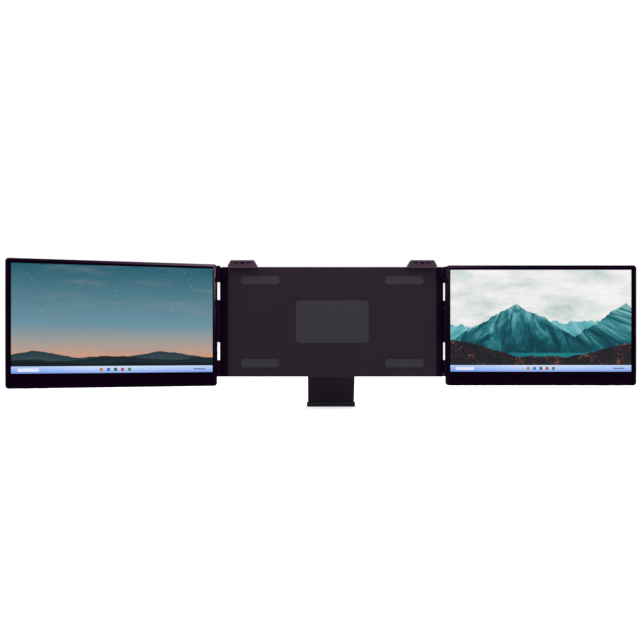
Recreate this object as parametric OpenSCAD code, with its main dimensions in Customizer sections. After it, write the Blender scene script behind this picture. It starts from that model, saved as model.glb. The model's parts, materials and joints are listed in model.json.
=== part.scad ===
// Dual screen extender for a laptop: two thin displays on friction hinges, carried by a
// flat bracket that sits behind the laptop's lid, holds it with two sprung top clips and
// stands on a telescopic leg. Millimetres. +X is the viewer's right, +Y points away from
// the viewer and +Z is up. The origin is the middle of the face that the lid rests on.

/* [Screens] */
// Width of one screen body
screen_w = 309; // [290:1:330]
// Height of one screen body
screen_h = 195.5; // [190:0.5:205]
// Height of the screens' top edge above the origin
screen_top = 91.5; // [89.5:0.5:95]
// Thickness of one screen body
screen_t = 8.5; // [8.5:0.5:10]
// Corner radius of a screen body
screen_r = 5; // [2.5:0.5:5]
// Wall thickness of the screens' rear covers
screen_wall = 1.4; // [1.2:0.1:1.6]
// Width of the lit area, which is 16:9
display_w = 294.5; // [280:0.5:296]
// Width of the frame above the lit area
display_top = 7.3; // [6:0.1:8]
// Width of the frame between the lit area and the hinge
display_side = 6.75; // [6.05:0.05:7.2]
// Width of the raised rim round the screen's front
rim_w = 4; // [2.4:0.1:4.6]
// Height of the raised rim over the frame's face
rim_h = 0.5; // [0.3:0.1:0.6]

/* [Hinges] */
// Distance of each screen's hinge axis from the middle
hinge_x = 182.6; // [182.5:0.1:184]
// How far in front of the lid's back the right hinge axis is
right_hinge_front = 8.3; // [8.3:0.1:9]
// How far in front of the lid's back the left hinge axis is
left_hinge_front = 17.6; // [17.6:0.1:19]
// Angle by which the left screen is turned towards the viewer
left_toe_in = 11.5; // [0:0.5:30]
// Outer radius of the hinge knuckles
knuckle_r = 2.6; // [2.4:0.1:2.7]
// Radius of the hinge pins
hinge_pin_r = 1.4; // [1.2:0.1:1.5]
// Running clearance round a pin
running_gap = 0.05; // [0.02:0.01:0.09]
// Height where the upper knuckle group starts
outer_group_low = 62.5; // [58:0.5:66]
// Height where the upper knuckle group ends
outer_group_high = 88.8; // [88:0.1:89]
// Half of the height of the middle knuckle group
middle_group_half = 34; // [30:1:38]
// Thickness of the friction washers
washer_t = 0.5; // [0.3:0.1:0.6]
// Distance from the left hinge axis to the strip between the knuckle groups
left_strip_x = 2; // [1:0.1:2.2]
// Distance from the right hinge axis to the strip between the knuckle groups
right_strip_x = 1.2; // [1:0.1:2.2]

/* [Bracket] */
// Width of the bracket over its hinge rails
bracket_w = 361.2; // [361:0.1:362]
// Height of the bracket
bracket_h = 180; // [178:1:180]
// Depth from the lid's back to the back of the bracket
bracket_d = 12; // [12:0.5:14]
// Width of each hinge rail
rail_w = 9.6; // [9.4:0.1:10]
// Width of the thin wing that the right rail carries behind its hinge
right_wing_w = 2.2; // [2:0.1:2.9]
// Width of the thin wing that the left rail carries behind its hinge
left_wing_w = 4; // [2:0.1:4.2]
// Thickness of the silicone pads behind the lid
pad_t = 1; // [0.8:0.1:1.2]
// Thickness of the front plate and of the cover's walls
plate_t = 1.6; // [1.4:0.1:1.8]
// Thickness of the steel spine plate
spine_t = 1.2; // [1:0.1:1.2]

/* [Clips] */
// Distance of each clip from the middle
clip_x = 146.2; // [142:0.1:147]
// Width of a clip's head where it meets the lid
clip_base_w = 47.5; // [42:0.5:48]
// Width of a clip's head at its top
clip_top_w = 38; // [32:0.5:39]
// Height of a clip's head
clip_head_h = 8.6; // [8:0.1:9]
// Height of the lid's top edge, where the clips rest
lid_top = 90.5; // [90:0.5:91]
// Thickness of the lid that the clips hold
lid_t = 6.4; // [5.5:0.1:6.4]
// Upward travel of each clip
clip_travel = 30; // [20:1:30]

/* [Stand] */
// Height of the stand's hinge axis
stand_z = 60; // [56:1:62]
// How far behind the lid's back the stand's hinge axis is
stand_y = 17.6; // [17.6:0.1:19]
// Angle of the leg from upright
stand_angle = 22; // [15:1:25]
// Depth of the desk's surface below the origin
desk_drop = 150; // [145:1:155]
// Width of the leg
leg_w = 104; // [100:2:110]
// Length of the leg below its hinge axis
leg_l = 150; // [145:1:150]
// Thickness of the leg
leg_t = 6; // [6:0.1:6.4]
// Width of the sliding foot plate
foot_w = 84; // [76:2:84]
// Thickness of the sliding foot plate
foot_t = 2.4; // [2:0.1:2.4]
// Radius of the stand's hinge pin
stand_pin_r = 2; // [1.8:0.1:2.2]

/* [Controls and ports] */
// Place of the power button along the lower edge, from the hinge axis
power_x = 284; // [280:1:290]
// Place of the menu rocker along the lower edge
rocker_x = 262; // [258:1:264]
// Width of the power button
power_w = 9; // [7:0.5:10]
// Width of the menu rocker
rocker_w = 16; // [14:0.5:18]
// Depth of both controls, across the screen's thickness
control_d = 2.8; // [2.4:0.1:2.8]

/* [Hidden] */
$fn = 48;

// Colours
casing_colour = "#17121a";
rim_colour = "#2a232c";
cover_colour = "#1d1a20";
metal_paint = "#211f24";
steel_colour = "#a9adb3";
aluminium_colour = "#c9ccd1";
rubber_colour = "#2b2b2e";
board_colour = "#1f4d38";
film_colour = "#e9ecef";
gold_colour = "#b9894a";
display_colour = "#5e93a8";

// How far a cut runs past the face it opens, and how far a boss reaches into its wall
past = 1;
bite = 0.2;

// A screen in its own frame: x runs outwards and y backwards from the hinge axis
edge_gap = 2.9;
front_y = 1.5;
back_y = front_y + screen_t;
inner_x = edge_gap;
outer_x = edge_gap + screen_w;
screen_bottom = screen_top - screen_h;
face_y = front_y + rim_h;
face_t = 0.9;
panel_front_y = face_y + face_t;
seam_y = 3.8;
cover_t = 1.3;
cover_inner_y = back_y - cover_t;
back_step = 0.6;
back_inset = 0.8;
rim_inner_r = screen_r - rim_w + 0.6;

// The lit area and the layers behind it
display_h = display_w * 9 / 16;
display_x0 = inner_x + display_side;
display_x1 = display_x0 + display_w;
display_z1 = screen_top - display_top;
display_z0 = display_z1 - display_h;
panel_border = 2.5;
panel_lower_border = 6;
panel_x0 = display_x0 - panel_border;
panel_x1 = display_x1 + panel_border;
panel_z0 = display_z0 - panel_lower_border;
panel_z1 = display_z1 + panel_border;
glass_t = 1.2;
backlight_t = 2.2;
sheet_t = 0.6;
sheet_lip = 0.5;
backlight_y = panel_front_y + glass_t;
sheet_y = backlight_y + backlight_t;
leaf_y = sheet_y + sheet_t + 0.1;
leaf_t = 1;
leaf_x1 = 30;
leaf_web_x = 4.7;
leaf_web_w = 1.2;
leaf_half_h = outer_group_high - 2;
leaf_strip_y1 = 5;
leaf_strip_x1 = inner_x - 0.05;
leaf_fin = [[2.3, 3.2], [leaf_strip_x1, 4.4]];
leaf_screw_x = 21;
leaf_screw_zs = [-76, -46, -15, 15, 46, 76];
leaf_pilot_r = 0.8;
small_screw_r = 1;

// Space between the cover's lower wall and the panel
chin_z0 = screen_bottom + screen_wall;
board_z0 = chin_z0 + 0.6;
board_z1 = panel_z0 - 2;
board_y = 3.9;
board_t = 1;
board_x0 = 92;
board_x1 = 297;
ribbon_x0 = 170;
ribbon_x1 = 230;
ribbon_t = 0.2;
ribbon_lap = 3;
switch_half = 1.2;
switch_h = 2.4;
switch_z0 = board_z0 + 1.4;
switch_z1 = board_z0 + 4;
speaker_xs = [48, 76];
speaker_w = 24;
speaker_y1 = 7.6;
speaker_r = 2;
cone_inset = 2;
cone_t = 0.6;
slot_pitch = 4;
slot_w = 1.2;
slot_h = 8;
slot_r = 0.55;
cover_screw_xs = [30, 150, 303.5];
cover_screw_z = -95.5;
post_r = 2.2;
post_split_y = 5.6;
post_floor = 0.6;
rocker_post_r = 1.6;
screw_head_r = 1.85;
screw_recess = 0.9;
video_port_x = 206;
power_port_xs = [224, 240];
port_depth = 7;
port_y0 = board_y + board_t;
port_h = 3.2;
power_port_w = 9;
video_port_w = 11.2;
power_port_r = 1.5;
video_port_r = 0.8;
port_inset = 0.4;
port_tongue_t = 0.7;
shell_t = 0.35;
fit_gap = 0.2;
control_y0 = 5.1;
control_proud = 0.5;
control_z0 = screen_bottom - control_proud;
rocker_pivot_z = chin_z0 + 1.2;
rocker_pin_r = 0.6;
rocker_gap = 0.3;
button_flange = 0.8;

// Knuckles, as [low, high] along the axis
knuckle_gap = washer_t + 0.2;
bracket_outer_low = 70;
bracket_outer_high = 85;
bracket_middle_half = 22;
bracket_knuckles = [[-bracket_outer_high, -bracket_outer_low],
                    [-bracket_middle_half, bracket_middle_half],
                    [bracket_outer_low, bracket_outer_high]];
screen_knuckles = [[-outer_group_high, -bracket_outer_high - knuckle_gap],
                   [-bracket_outer_low + knuckle_gap, -outer_group_low],
                   [-middle_group_half, -bracket_middle_half - knuckle_gap],
                   [bracket_middle_half + knuckle_gap, middle_group_half],
                   [outer_group_low, bracket_outer_low - knuckle_gap],
                   [bracket_outer_high + knuckle_gap, outer_group_high]];
pin_spans = [[-outer_group_high, -outer_group_low],
             [-middle_group_half, middle_group_half],
             [outer_group_low, outer_group_high]];

// The bracket
half_h = bracket_h / 2;
rail_x1 = bracket_w / 2;
rail_x0 = rail_x1 - rail_w;
rail_r = 1.5;
wing_y0 = 3.6;
arm_y1 = bracket_d - 3;
plate_x = rail_x0;
plate_r = 2;
cover_inner_r = 0.6;
boss_r = 3;
plate_y1 = pad_t + plate_t;
cover_back_inner = bracket_d - plate_t;
spine_x = rail_x0 + 5;
spine_y1 = plate_y1 + spine_t;
spine_z = 80;
spine_r = 2;
spine_boss_gap = 0.3;
window_xs = [-75, -25, 25, 75];
window_zs = [-42, 0];
window_half_w = 19;
window_half_h = 15;
window_r = 6;
arm_x0 = 180.1;
lug_x0 = 173;
lug_y0 = -9.2;
lug_y1 = -7;
plate_screw_xs = [-115, -40, 40, 115];
plate_screw_z = 81;
plate_screw_r = 1.2;
rail_screw_x = rail_x0 + 2.6;
rail_screw_zs = [-60, -20, 20, 60];
bracket_head_r = 2.4;
rail_head_r = 2;
head_sink = 0.1;
middle_pad = [120, 70, 8];
edge_pad = [64, 14, 6.9];
edge_pad_x = 118;
edge_pad_z = 68;

// Clips, in a frame at the clip's middle
liner_t = 0.6;
lip_inner_y = -lid_t - liner_t;
lip_low = 86.6;
lip_high = 93.3;
lip_edge_t = 1.7;
lip_bevel = 0.6;
head_front_y = -8.2;
head_back_y = 8;
head_low = lid_top + liner_t;
head_high = head_low + clip_head_h;
shank_half = 13;
shank_y0 = 4.2;
shank_t = 2;
shank_low = 34;
flange_half = 16;
flange_h = 6;
slide_gap = 0.4;
guide_x = flange_half + slide_gap;
guide_t = 1.2;
guide_low = 20;
clip_stop_z = shank_low + flange_h + clip_travel + 0.2;
clip_stop_h = 4;
spring_y = 8.4;
spring_r = 1.6;
wire_r = 0.3;
spring_low = -20;
spring_high = 37;
spring_post_r = 1.1;
spring_turns = 13;
spring_steps = 10;
wire_sides = 5;
mark_depth = 0.6;

// The stand, in a frame at its hinge axis with the leg hanging straight down
leg_half = leg_w / 2;
leg_front = -leg_t / 2;
leg_back = leg_t / 2;
leg_top = -9;
slot_half = foot_w / 2 + 0.2;
slot_y = foot_t / 2 + 0.3;
slot_top = -22;
leg_r = 8;
notch_half = 10;
notch_h = 9;
tongue_t = 2.4;
friction_x = 25;
friction_half_w = 4;
friction_t = 0.3;
friction_bed_half = 5;
friction_bed = 0.8;
friction_bed_zs = [-140, -104];
friction_zs = [-139, -122, -105];
ear_x0 = 44;
ear_t = 6;
ear_r = 4.5;
base_half = 56;
base_t = 1.8;
base_half_h = 12;
base_r = 5;
base_screw_x = 22;
base_screw_dz = 8.5;
leg_knuckle_x0 = 30;
leg_knuckle_x1 = 43.4;
leg_knuckle_r = 3.4;
stand_washer_half = 0.2;
foot_r = 3;
grip_half = 9;
grip_w = 2;
grip_pitch = 6;
grip_depth = 0.5;
foot_reach = (stand_z + desk_drop) / cos(stand_angle);
foot_top = -100;
foot_end = -foot_reach + 4;
sole_half = foot_w / 2 + 2;
sole_y = stand_y + foot_reach * sin(stand_angle);
sole_h = 8.5;

// ---- Shapes that are used again ----

module rounded_rect(w, h, r) {
    square([w - 2 * r, h], center = true);
    square([w, h - 2 * r], center = true);
    for (sx = [-1, 1], sy = [-1, 1])
        translate([sx * (w / 2 - r), sy * (h / 2 - r)]) circle(r);
}

// A box from its lowest to its highest corner
module block(low, high) {
    translate(low) cube(high - low);
}

// An upright plate with round corners: xs, ys and zs are its [low, high] on each axis
module plate(xs, ys, zs, r) {
    translate([(xs[0] + xs[1]) / 2, ys[1], (zs[0] + zs[1]) / 2])
        rotate([90, 0, 0])
            linear_extrude(ys[1] - ys[0])
                rounded_rect(xs[1] - xs[0], zs[1] - zs[0], r);
}

module rod_x(y, z, r, xs) {
    translate([xs[0], y, z]) rotate([0, 90, 0]) cylinder(r = r, h = xs[1] - xs[0]);
}

module rod_y(x, z, r, ys) {
    translate([x, ys[0], z]) rotate([-90, 0, 0]) cylinder(r = r, h = ys[1] - ys[0]);
}

module rod_z(x, y, r, zs) {
    translate([x, y, zs[0]]) cylinder(r = r, h = zs[1] - zs[0]);
}

// A profile of [y, z] points carried along X, and one of [x, z] points carried along Y
module along_x(points, xs) {
    translate([xs[0], 0, 0]) rotate([90, 0, 90]) linear_extrude(xs[1] - xs[0]) polygon(points);
}

module along_y(points, ys) {
    translate([0, ys[1], 0]) rotate([90, 0, 0]) linear_extrude(ys[1] - ys[0]) polygon(points);
}

// A flat-headed cross-slot screw along Y, with its head's outer face at head_y
module screw(x, z, r, head_r, tip_y, head_y) {
    head_t = 0.8;
    cross_w = 1.2 * head_r;
    difference() {
        union() {
            rod_y(x, z, r, [tip_y, head_y - head_t + 0.1]);
            rod_y(x, z, head_r, [head_y - head_t, head_y]);
        }
        for (a = [0, 90])
            translate([x, head_y, z]) rotate([0, a, 0]) cube([cross_w, head_t, 0.25 * head_r], center = true);
    }
}

module on_both_sides() {
    children();
    mirror([1, 0, 0]) children();
}

// ---- Where the assemblies sit ----

module on_right() {
    translate([hinge_x, -right_hinge_front, 0]) children();
}

module on_left() {
    translate([-hinge_x, -left_hinge_front, 0]) rotate([0, 0, left_toe_in]) mirror([1, 0, 0]) children();
}

module at_clip(side) {
    translate([side * clip_x, 0, 0]) children();
}

module on_stand() {
    translate([0, stand_y, stand_z]) rotate([stand_angle, 0, 0]) children();
}

// ---- Screen ----

module front_bezel() {
    color(casing_colour) {
        difference() {
            union() {
                plate([inner_x, outer_x], [face_y, panel_front_y], [screen_bottom, screen_top], screen_r);
                difference() {
                    plate([inner_x, outer_x], [front_y, seam_y], [screen_bottom, screen_top], screen_r);
                    plate([inner_x + rim_w, outer_x - rim_w], [0, back_y],
                          [screen_bottom + rim_w, screen_top - rim_w], rim_inner_r);
                }
            }
            block([display_x0, 0, display_z0], [display_x1, back_y, display_z1]);
            for (k = screen_knuckles)
                block([0, 0, k[0] - fit_gap], [leaf_web_x + leaf_web_w + fit_gap, back_y, k[1] + fit_gap]);
        }
        for (x = cover_screw_xs)
            difference() {
                rod_y(x, cover_screw_z, post_r, [panel_front_y, post_split_y]);
                rod_y(x, cover_screw_z, small_screw_r, [panel_front_y + post_floor, post_split_y + past]);
            }
    }
}

module port_opening(x, w) {
    block([x - w / 2 - fit_gap, port_y0 - fit_gap, screen_bottom - past],
          [x + w / 2 + fit_gap, port_y0 + port_h + fit_gap, chin_z0 + past]);
}

module control_opening(x, w, gap) {
    block([x - w / 2 - gap, control_y0 - fit_gap, screen_bottom - past],
          [x + w / 2 + gap, control_y0 + control_d + fit_gap, chin_z0 + past]);
}

module rear_cover() {
    color(cover_colour)
    difference() {
        union() {
            difference() {
                union() {
                    plate([inner_x, outer_x], [seam_y, back_y - back_step],
                          [screen_bottom, screen_top], screen_r);
                    plate([inner_x + back_inset, outer_x - back_inset], [cover_inner_y, back_y],
                          [screen_bottom + back_inset, screen_top - back_inset], screen_r - back_inset);
                }
                plate([inner_x + screen_wall, outer_x - screen_wall], [0, cover_inner_y],
                      [chin_z0, screen_top - screen_wall], screen_r - screen_wall);
            }
            for (x = cover_screw_xs)
                rod_y(x, cover_screw_z, post_r, [post_split_y, cover_inner_y + bite]);
            for (z = leaf_screw_zs)
                rod_y(leaf_screw_x, z, post_r, [leaf_y + leaf_t, cover_inner_y + bite]);
            rod_y(rocker_x, rocker_pivot_z, rocker_post_r,
                  [control_y0 + control_d + fit_gap, cover_inner_y + bite]);
        }
        for (x = cover_screw_xs) {
            rod_y(x, cover_screw_z, small_screw_r + 0.1, [0, back_y + past]);
            rod_y(x, cover_screw_z, screw_head_r + fit_gap, [back_y - screw_recess, back_y + past]);
        }
        for (z = leaf_screw_zs)
            rod_y(leaf_screw_x, z, leaf_pilot_r, [0, cover_inner_y + 2 * bite]);
        rod_y(rocker_x, rocker_pivot_z, rocker_pin_r + running_gap, [0, cover_inner_y]);
        port_opening(video_port_x, video_port_w);
        for (x = power_port_xs)
            port_opening(x, power_port_w);
        control_opening(power_x, power_w, fit_gap);
        control_opening(rocker_x, rocker_w, rocker_gap);
        for (x = speaker_xs, i = [-2 : 2])
            plate([x + i * slot_pitch - slot_w / 2, x + i * slot_pitch + slot_w / 2],
                  [cover_inner_y - past, back_y + past],
                  [cover_screw_z - slot_h / 2, cover_screw_z + slot_h / 2], slot_r);
    }
}

module lcd_panel() {
    color(display_colour)
    block([panel_x0, panel_front_y, panel_z0], [panel_x1, backlight_y, panel_z1]);
}

module backlight() {
    color(film_colour)
    block([panel_x0 + sheet_lip, backlight_y, panel_z0 + sheet_lip],
          [panel_x1 - sheet_lip, sheet_y, panel_z1 - sheet_lip]);
}

module chassis_sheet() {
    sheet_y1 = sheet_y + sheet_t;
    color(aluminium_colour) {
        block([panel_x0, sheet_y, panel_z0], [panel_x1, sheet_y1, panel_z1]);
        block([panel_x0, backlight_y, panel_z1 - sheet_lip], [panel_x1, sheet_y1, panel_z1]);
        block([panel_x0, backlight_y, panel_z0], [panel_x1, sheet_y1, panel_z0 + sheet_lip]);
    }
}

// Steel leaf: knuckles on the axis, arms into the frame, a thin fin beside the frame's edge that
// widens to a strip between the knuckle groups, and a screwed plate behind the panel
module hinge_leaf(strip_x) {
    arm_y0 = knuckle_r - leaf_t;
    web_x1 = leaf_web_x + leaf_web_w;
    color(steel_colour)
    difference() {
        union() {
            for (k = screen_knuckles) {
                rod_z(0, 0, knuckle_r, k);
                block([0, arm_y0, k[0]], [web_x1, knuckle_r, k[1]]);
                block([leaf_web_x, arm_y0, max(k[0], -leaf_half_h)],
                      [web_x1, leaf_y + leaf_t, min(k[1], leaf_half_h)]);
                block([leaf_fin[0][0], arm_y0, k[0]], [leaf_fin[1][0], leaf_fin[1][1], k[1]]);
            }
            block([leaf_fin[0][0], leaf_fin[0][1], -outer_group_high],
                  [leaf_fin[1][0], leaf_fin[1][1], outer_group_high]);
            for (z = [-outer_group_low, middle_group_half])
                block([strip_x, arm_y0, z - bite],
                      [leaf_strip_x1, leaf_strip_y1, z + outer_group_low - middle_group_half + bite]);
            block([leaf_web_x, leaf_y, -leaf_half_h], [leaf_x1, leaf_y + leaf_t, leaf_half_h]);
        }
        for (k = screen_knuckles)
            rod_z(0, 0, hinge_pin_r + running_gap, [k[0] - past, k[1] + past]);
        for (z = leaf_screw_zs)
            rod_y(leaf_screw_x, z, small_screw_r, [leaf_y - past, leaf_y + leaf_t + past]);
    }
}

module driver_board() {
    mid_z = (board_z0 + board_z1) / 2;
    chip_t = 1.4;
    chips = [[104, 9], [122, 7], [136, 6], [166, 11], [184, 8]];
    color(board_colour) {
        difference() {
            block([board_x0, board_y, board_z0], [board_x1, board_y + board_t, board_z1]);
            rod_y(cover_screw_xs[1], cover_screw_z, post_r + 2 * fit_gap, [0, back_y]);
        }
        for (c = chips)
            block([c[0], board_y + board_t, mid_z - c[1] / 2 + 1],
                  [c[0] + c[1], board_y + board_t + chip_t, mid_z + c[1] / 2 - 1]);
        for (x = [power_x, rocker_x - rocker_w / 3, rocker_x + rocker_w / 3])
            block([x - switch_half, board_y + board_t, switch_z0],
                  [x + switch_half, board_y + board_t + switch_h, switch_z1]);
    }
}

module panel_ribbon() {
    color(gold_colour)
    block([ribbon_x0, board_y - ribbon_t, board_z1 - ribbon_lap], [ribbon_x1, board_y, panel_z0]);
}

module speakers() {
    color(rubber_colour)
    for (x = speaker_xs) {
        plate([x - speaker_w / 2, x + speaker_w / 2], [board_y, speaker_y1], [board_z0, board_z1], speaker_r);
        plate([x - speaker_w / 2 + cone_inset, x + speaker_w / 2 - cone_inset],
              [speaker_y1, speaker_y1 + cone_t],
              [board_z0 + cone_inset, board_z1 - cone_inset], speaker_r);
    }
}

module port_shell(x, w, r) {
    low = screen_bottom + port_inset;
    mid_y = port_y0 + port_h / 2;
    translate([x, mid_y, low])
        difference() {
            linear_extrude(port_depth) rounded_rect(w, port_h, r);
            translate([0, 0, -past])
                linear_extrude(port_depth) rounded_rect(w - 2 * shell_t, port_h - 2 * shell_t, r - shell_t);
        }
    block([x - w / 2 + 1.6, mid_y - port_tongue_t / 2, low + 1],
          [x + w / 2 - 1.6, mid_y + port_tongue_t / 2, low + port_depth - 0.5]);
}

module ports() {
    color(steel_colour) {
        port_shell(video_port_x, video_port_w, video_port_r);
        for (x = power_port_xs)
            port_shell(x, power_port_w, power_port_r);
    }
}

module power_button() {
    inner_z = chin_z0 + fit_gap;
    color(rim_colour) {
        block([power_x - power_w / 2, control_y0, control_z0],
              [power_x + power_w / 2, control_y0 + control_d, inner_z + button_flange]);
        block([power_x - power_w / 2 - button_flange, control_y0, inner_z],
              [power_x + power_w / 2 + button_flange, control_y0 + control_d, inner_z + button_flange]);
    }
}

module menu_rocker() {
    color(rim_colour) {
        block([rocker_x - rocker_w / 2, control_y0, control_z0],
              [rocker_x + rocker_w / 2, control_y0 + control_d, rocker_pivot_z + 0.4]);
        rod_y(rocker_x, rocker_pivot_z, rocker_pin_r,
              [control_y0 + control_d - bite, cover_inner_y - fit_gap]);
    }
}

module cover_screws() {
    color(steel_colour)
    for (x = cover_screw_xs)
        screw(x, cover_screw_z, small_screw_r, screw_head_r, panel_front_y + 1, back_y - head_sink);
}

// ---- Bracket ----

module front_plate() {
    color(casing_colour)
    difference() {
        union() {
            plate([-plate_x, plate_x], [pad_t, plate_y1], [-half_h, half_h], plate_r);
            for (x = plate_screw_xs, s = [-1, 1])
                rod_y(x, s * plate_screw_z, boss_r, [plate_y1 - bite, cover_back_inner]);
        }
        for (x = plate_screw_xs, s = [-1, 1])
            rod_y(x, s * plate_screw_z, plate_screw_r, [plate_y1, cover_back_inner + past]);
    }
}

module bracket_cover() {
    color(cover_colour)
    difference() {
        union() {
            difference() {
                plate([-plate_x, plate_x], [plate_y1, bracket_d], [-half_h, half_h], plate_r);
                plate([-plate_x + plate_t, plate_x - plate_t], [0, cover_back_inner],
                      [-half_h + plate_t, half_h - plate_t], cover_inner_r);
            }
            for (s = [-1, 1])
                at_clip(s) {
                    on_both_sides() {
                        block([guide_x, shank_y0, guide_low],
                              [guide_x + guide_t, cover_back_inner + bite, half_h - 1]);
                        block([shank_half + slide_gap, shank_y0, clip_stop_z],
                              [guide_x + bite, cover_back_inner + bite, clip_stop_z + clip_stop_h]);
                    }
                    rod_y(0, spring_low, spring_post_r, [shank_y0 + shank_t, cover_back_inner + bite]);
                }
            for (x = [-base_screw_x, base_screw_x], s = [-1, 1])
                rod_y(x, stand_z + s * base_screw_dz, boss_r, [spine_y1 + fit_gap, cover_back_inner + bite]);
        }
        for (s = [-1, 1])
            at_clip(s)
                block([-shank_half - slide_gap, shank_y0 - slide_gap, half_h - plate_t - past],
                      [shank_half + slide_gap, shank_y0 + shank_t + slide_gap, half_h + past]);
        on_both_sides()
            block([plate_x - plate_t - past, 0, -spine_z], [plate_x + past, spine_y1, spine_z]);
        for (x = plate_screw_xs, s = [-1, 1]) {
            rod_y(x, s * plate_screw_z, plate_screw_r + fit_gap, [cover_back_inner - past, bracket_d + past]);
            rod_y(x, s * plate_screw_z, bracket_head_r + fit_gap,
                  [bracket_d - screw_recess, bracket_d + past]);
        }
        for (x = [-base_screw_x, base_screw_x], s = [-1, 1])
            rod_y(x, stand_z + s * base_screw_dz, plate_screw_r, [0, bracket_d + past]);
    }
}

module spine_plate() {
    color(steel_colour)
    difference() {
        plate([-spine_x, spine_x], [plate_y1, spine_y1], [-spine_z, spine_z], spine_r);
        for (x = plate_screw_xs, s = [-1, 1])
            rod_y(x, s * plate_screw_z, boss_r + spine_boss_gap, [0, bracket_d]);
        for (x = [-rail_screw_x, rail_screw_x], z = rail_screw_zs)
            rod_y(x, z, plate_screw_r, [0, bracket_d]);
        for (x = window_xs, z = window_zs)
            plate([x - window_half_w, x + window_half_w], [0, bracket_d],
                  [z - window_half_h, z + window_half_h], window_r);
    }
}

// A pad from its [width, height, corner radius]
module lid_pad(x, z, size) {
    plate([x - size[0] / 2, x + size[0] / 2], [0, pad_t], [z - size[1] / 2, z + size[1] / 2], size[2]);
}

module lid_pads() {
    color(rubber_colour) {
        lid_pad(0, 0, middle_pad);
        for (sx = [-1, 1], sz = [-1, 1])
            lid_pad(sx * edge_pad_x, sz * edge_pad_z, edge_pad);
    }
}

module plate_screws() {
    color(steel_colour)
    for (x = plate_screw_xs, s = [-1, 1])
        screw(x, s * plate_screw_z, plate_screw_r, bracket_head_r, plate_y1 + 1, bracket_d - head_sink);
}

module rail_screws() {
    color(steel_colour)
    for (x = [-rail_screw_x, rail_screw_x], z = rail_screw_zs)
        screw(x, z, plate_screw_r, rail_head_r, plate_y1, bracket_d - head_sink);
}

// Painted rail with a wing behind the hinge, three arms that carry the knuckles, and a lug that
// hooks over the lid's edge
module hinge_rail(hinge_front, wing_w) {
    color(metal_paint)
    difference() {
        union() {
            plate([rail_x0, rail_x1], [pad_t, bracket_d], [-half_h, half_h], rail_r);
            plate([rail_x1 - rail_w / 2, rail_x1 + wing_w], [wing_y0, bracket_d], [-half_h, half_h], rail_r);
            for (k = bracket_knuckles) {
                block([arm_x0, -hinge_front, k[0]], [hinge_x, arm_y1, k[1]]);
                rod_z(hinge_x, -hinge_front, knuckle_r, k);
            }
            block([lug_x0, lug_y0, bracket_outer_low], [arm_x0 + 1, lug_y1, bracket_outer_high]);
        }
        for (k = bracket_knuckles)
            rod_z(hinge_x, -hinge_front, hinge_pin_r, [k[0] - past, k[1] + past]);
        block([rail_x0 - past, plate_y1, -spine_z], [spine_x, spine_y1, spine_z]);
        for (z = rail_screw_zs) {
            rod_y(rail_screw_x, z, plate_screw_r, [plate_y1, bracket_d + past]);
            rod_y(rail_screw_x, z, rail_head_r + fit_gap, [bracket_d - screw_recess, bracket_d + past]);
        }
    }
}

module hinge_pins(hinge_front) {
    color(steel_colour)
    for (s = pin_spans)
        rod_z(hinge_x, -hinge_front, hinge_pin_r, s);
}

module hinge_washers(hinge_front) {
    color(aluminium_colour)
    for (k = bracket_knuckles, end = [k[0] - knuckle_gap / 2, k[1] + knuckle_gap / 2])
        translate([hinge_x, -hinge_front, end - washer_t / 2])
            difference() {
                cylinder(r = knuckle_r - 0.1, h = washer_t);
                translate([0, 0, -past]) cylinder(r = hinge_pin_r + running_gap, h = washer_t + 2 * past);
            }
}

// ---- Clips ----

module clip() {
    head = [[-clip_base_w / 2, head_low], [clip_base_w / 2, head_low],
            [clip_top_w / 2 + 0.7, head_high - 1], [clip_top_w / 2 - 0.6, head_high],
            [-clip_top_w / 2 + 0.6, head_high], [-clip_top_w / 2 - 0.7, head_high - 1]];
    lip = [[lip_inner_y, lip_low], [lip_inner_y - lip_edge_t, lip_low], [lug_y0, lip_low + lip_bevel],
           [head_front_y, lip_high], [lip_inner_y, lip_high]];
    dash_x = 6.6;
    dash_w = 7.2;
    dash_h = 2;
    dash_z = 95.4;
    arrow_half = dash_w / 2;
    arrow = [[-arrow_half, dash_z + dash_h / 2], [-arrow_half, dash_z - dash_h / 4],
             [0, dash_z - 1.6 * dash_h],
             [arrow_half, dash_z - dash_h / 4], [arrow_half, dash_z + dash_h / 2]];
    color(rim_colour)
    difference() {
        union() {
            along_y(head, [head_front_y, head_back_y]);
            along_x(lip, [-clip_base_w / 2, clip_base_w / 2]);
            block([-shank_half, shank_y0, shank_low], [shank_half, shank_y0 + shank_t, head_low + 1]);
            block([-flange_half, shank_y0, shank_low],
                  [flange_half, shank_y0 + shank_t, shank_low + flange_h]);
            rod_y(0, spring_high, spring_post_r, [shank_y0 + shank_t - bite, cover_back_inner - slide_gap]);
        }
        on_both_sides()
            block([dash_x, head_front_y - past, dash_z - dash_h / 2],
                  [dash_x + dash_w, head_front_y + mark_depth, dash_z + dash_h / 2]);
        along_y(arrow, [head_front_y - past, head_front_y + mark_depth]);
    }
}

module clip_liner() {
    half = clip_base_w / 2 - 1;
    color(rubber_colour) {
        block([-half, lip_inner_y, lip_low + 0.4], [half, lip_inner_y + liner_t, head_low]);
        block([-half, lip_inner_y, lid_top], [half, -0.2, head_low]);
    }
}

// Points of the spring's wire: a loop round the lower post, the coil, a loop round the upper post
function loop_points(z, turn, from) =
    [for (i = [0 : 6]) [(spring_post_r + wire_r + 0.1) * cos(from + turn * i * 40), 0,
                        z + (spring_post_r + wire_r + 0.1) * sin(from + turn * i * 40)]];

function coil_points(low, high) =
    [for (i = [0 : spring_turns * spring_steps])
        [spring_r * cos(i * 360 / spring_steps), spring_r * sin(i * 360 / spring_steps),
         low + (high - low) * i / (spring_turns * spring_steps)]];

function unit(v) = v / norm(v);

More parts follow.
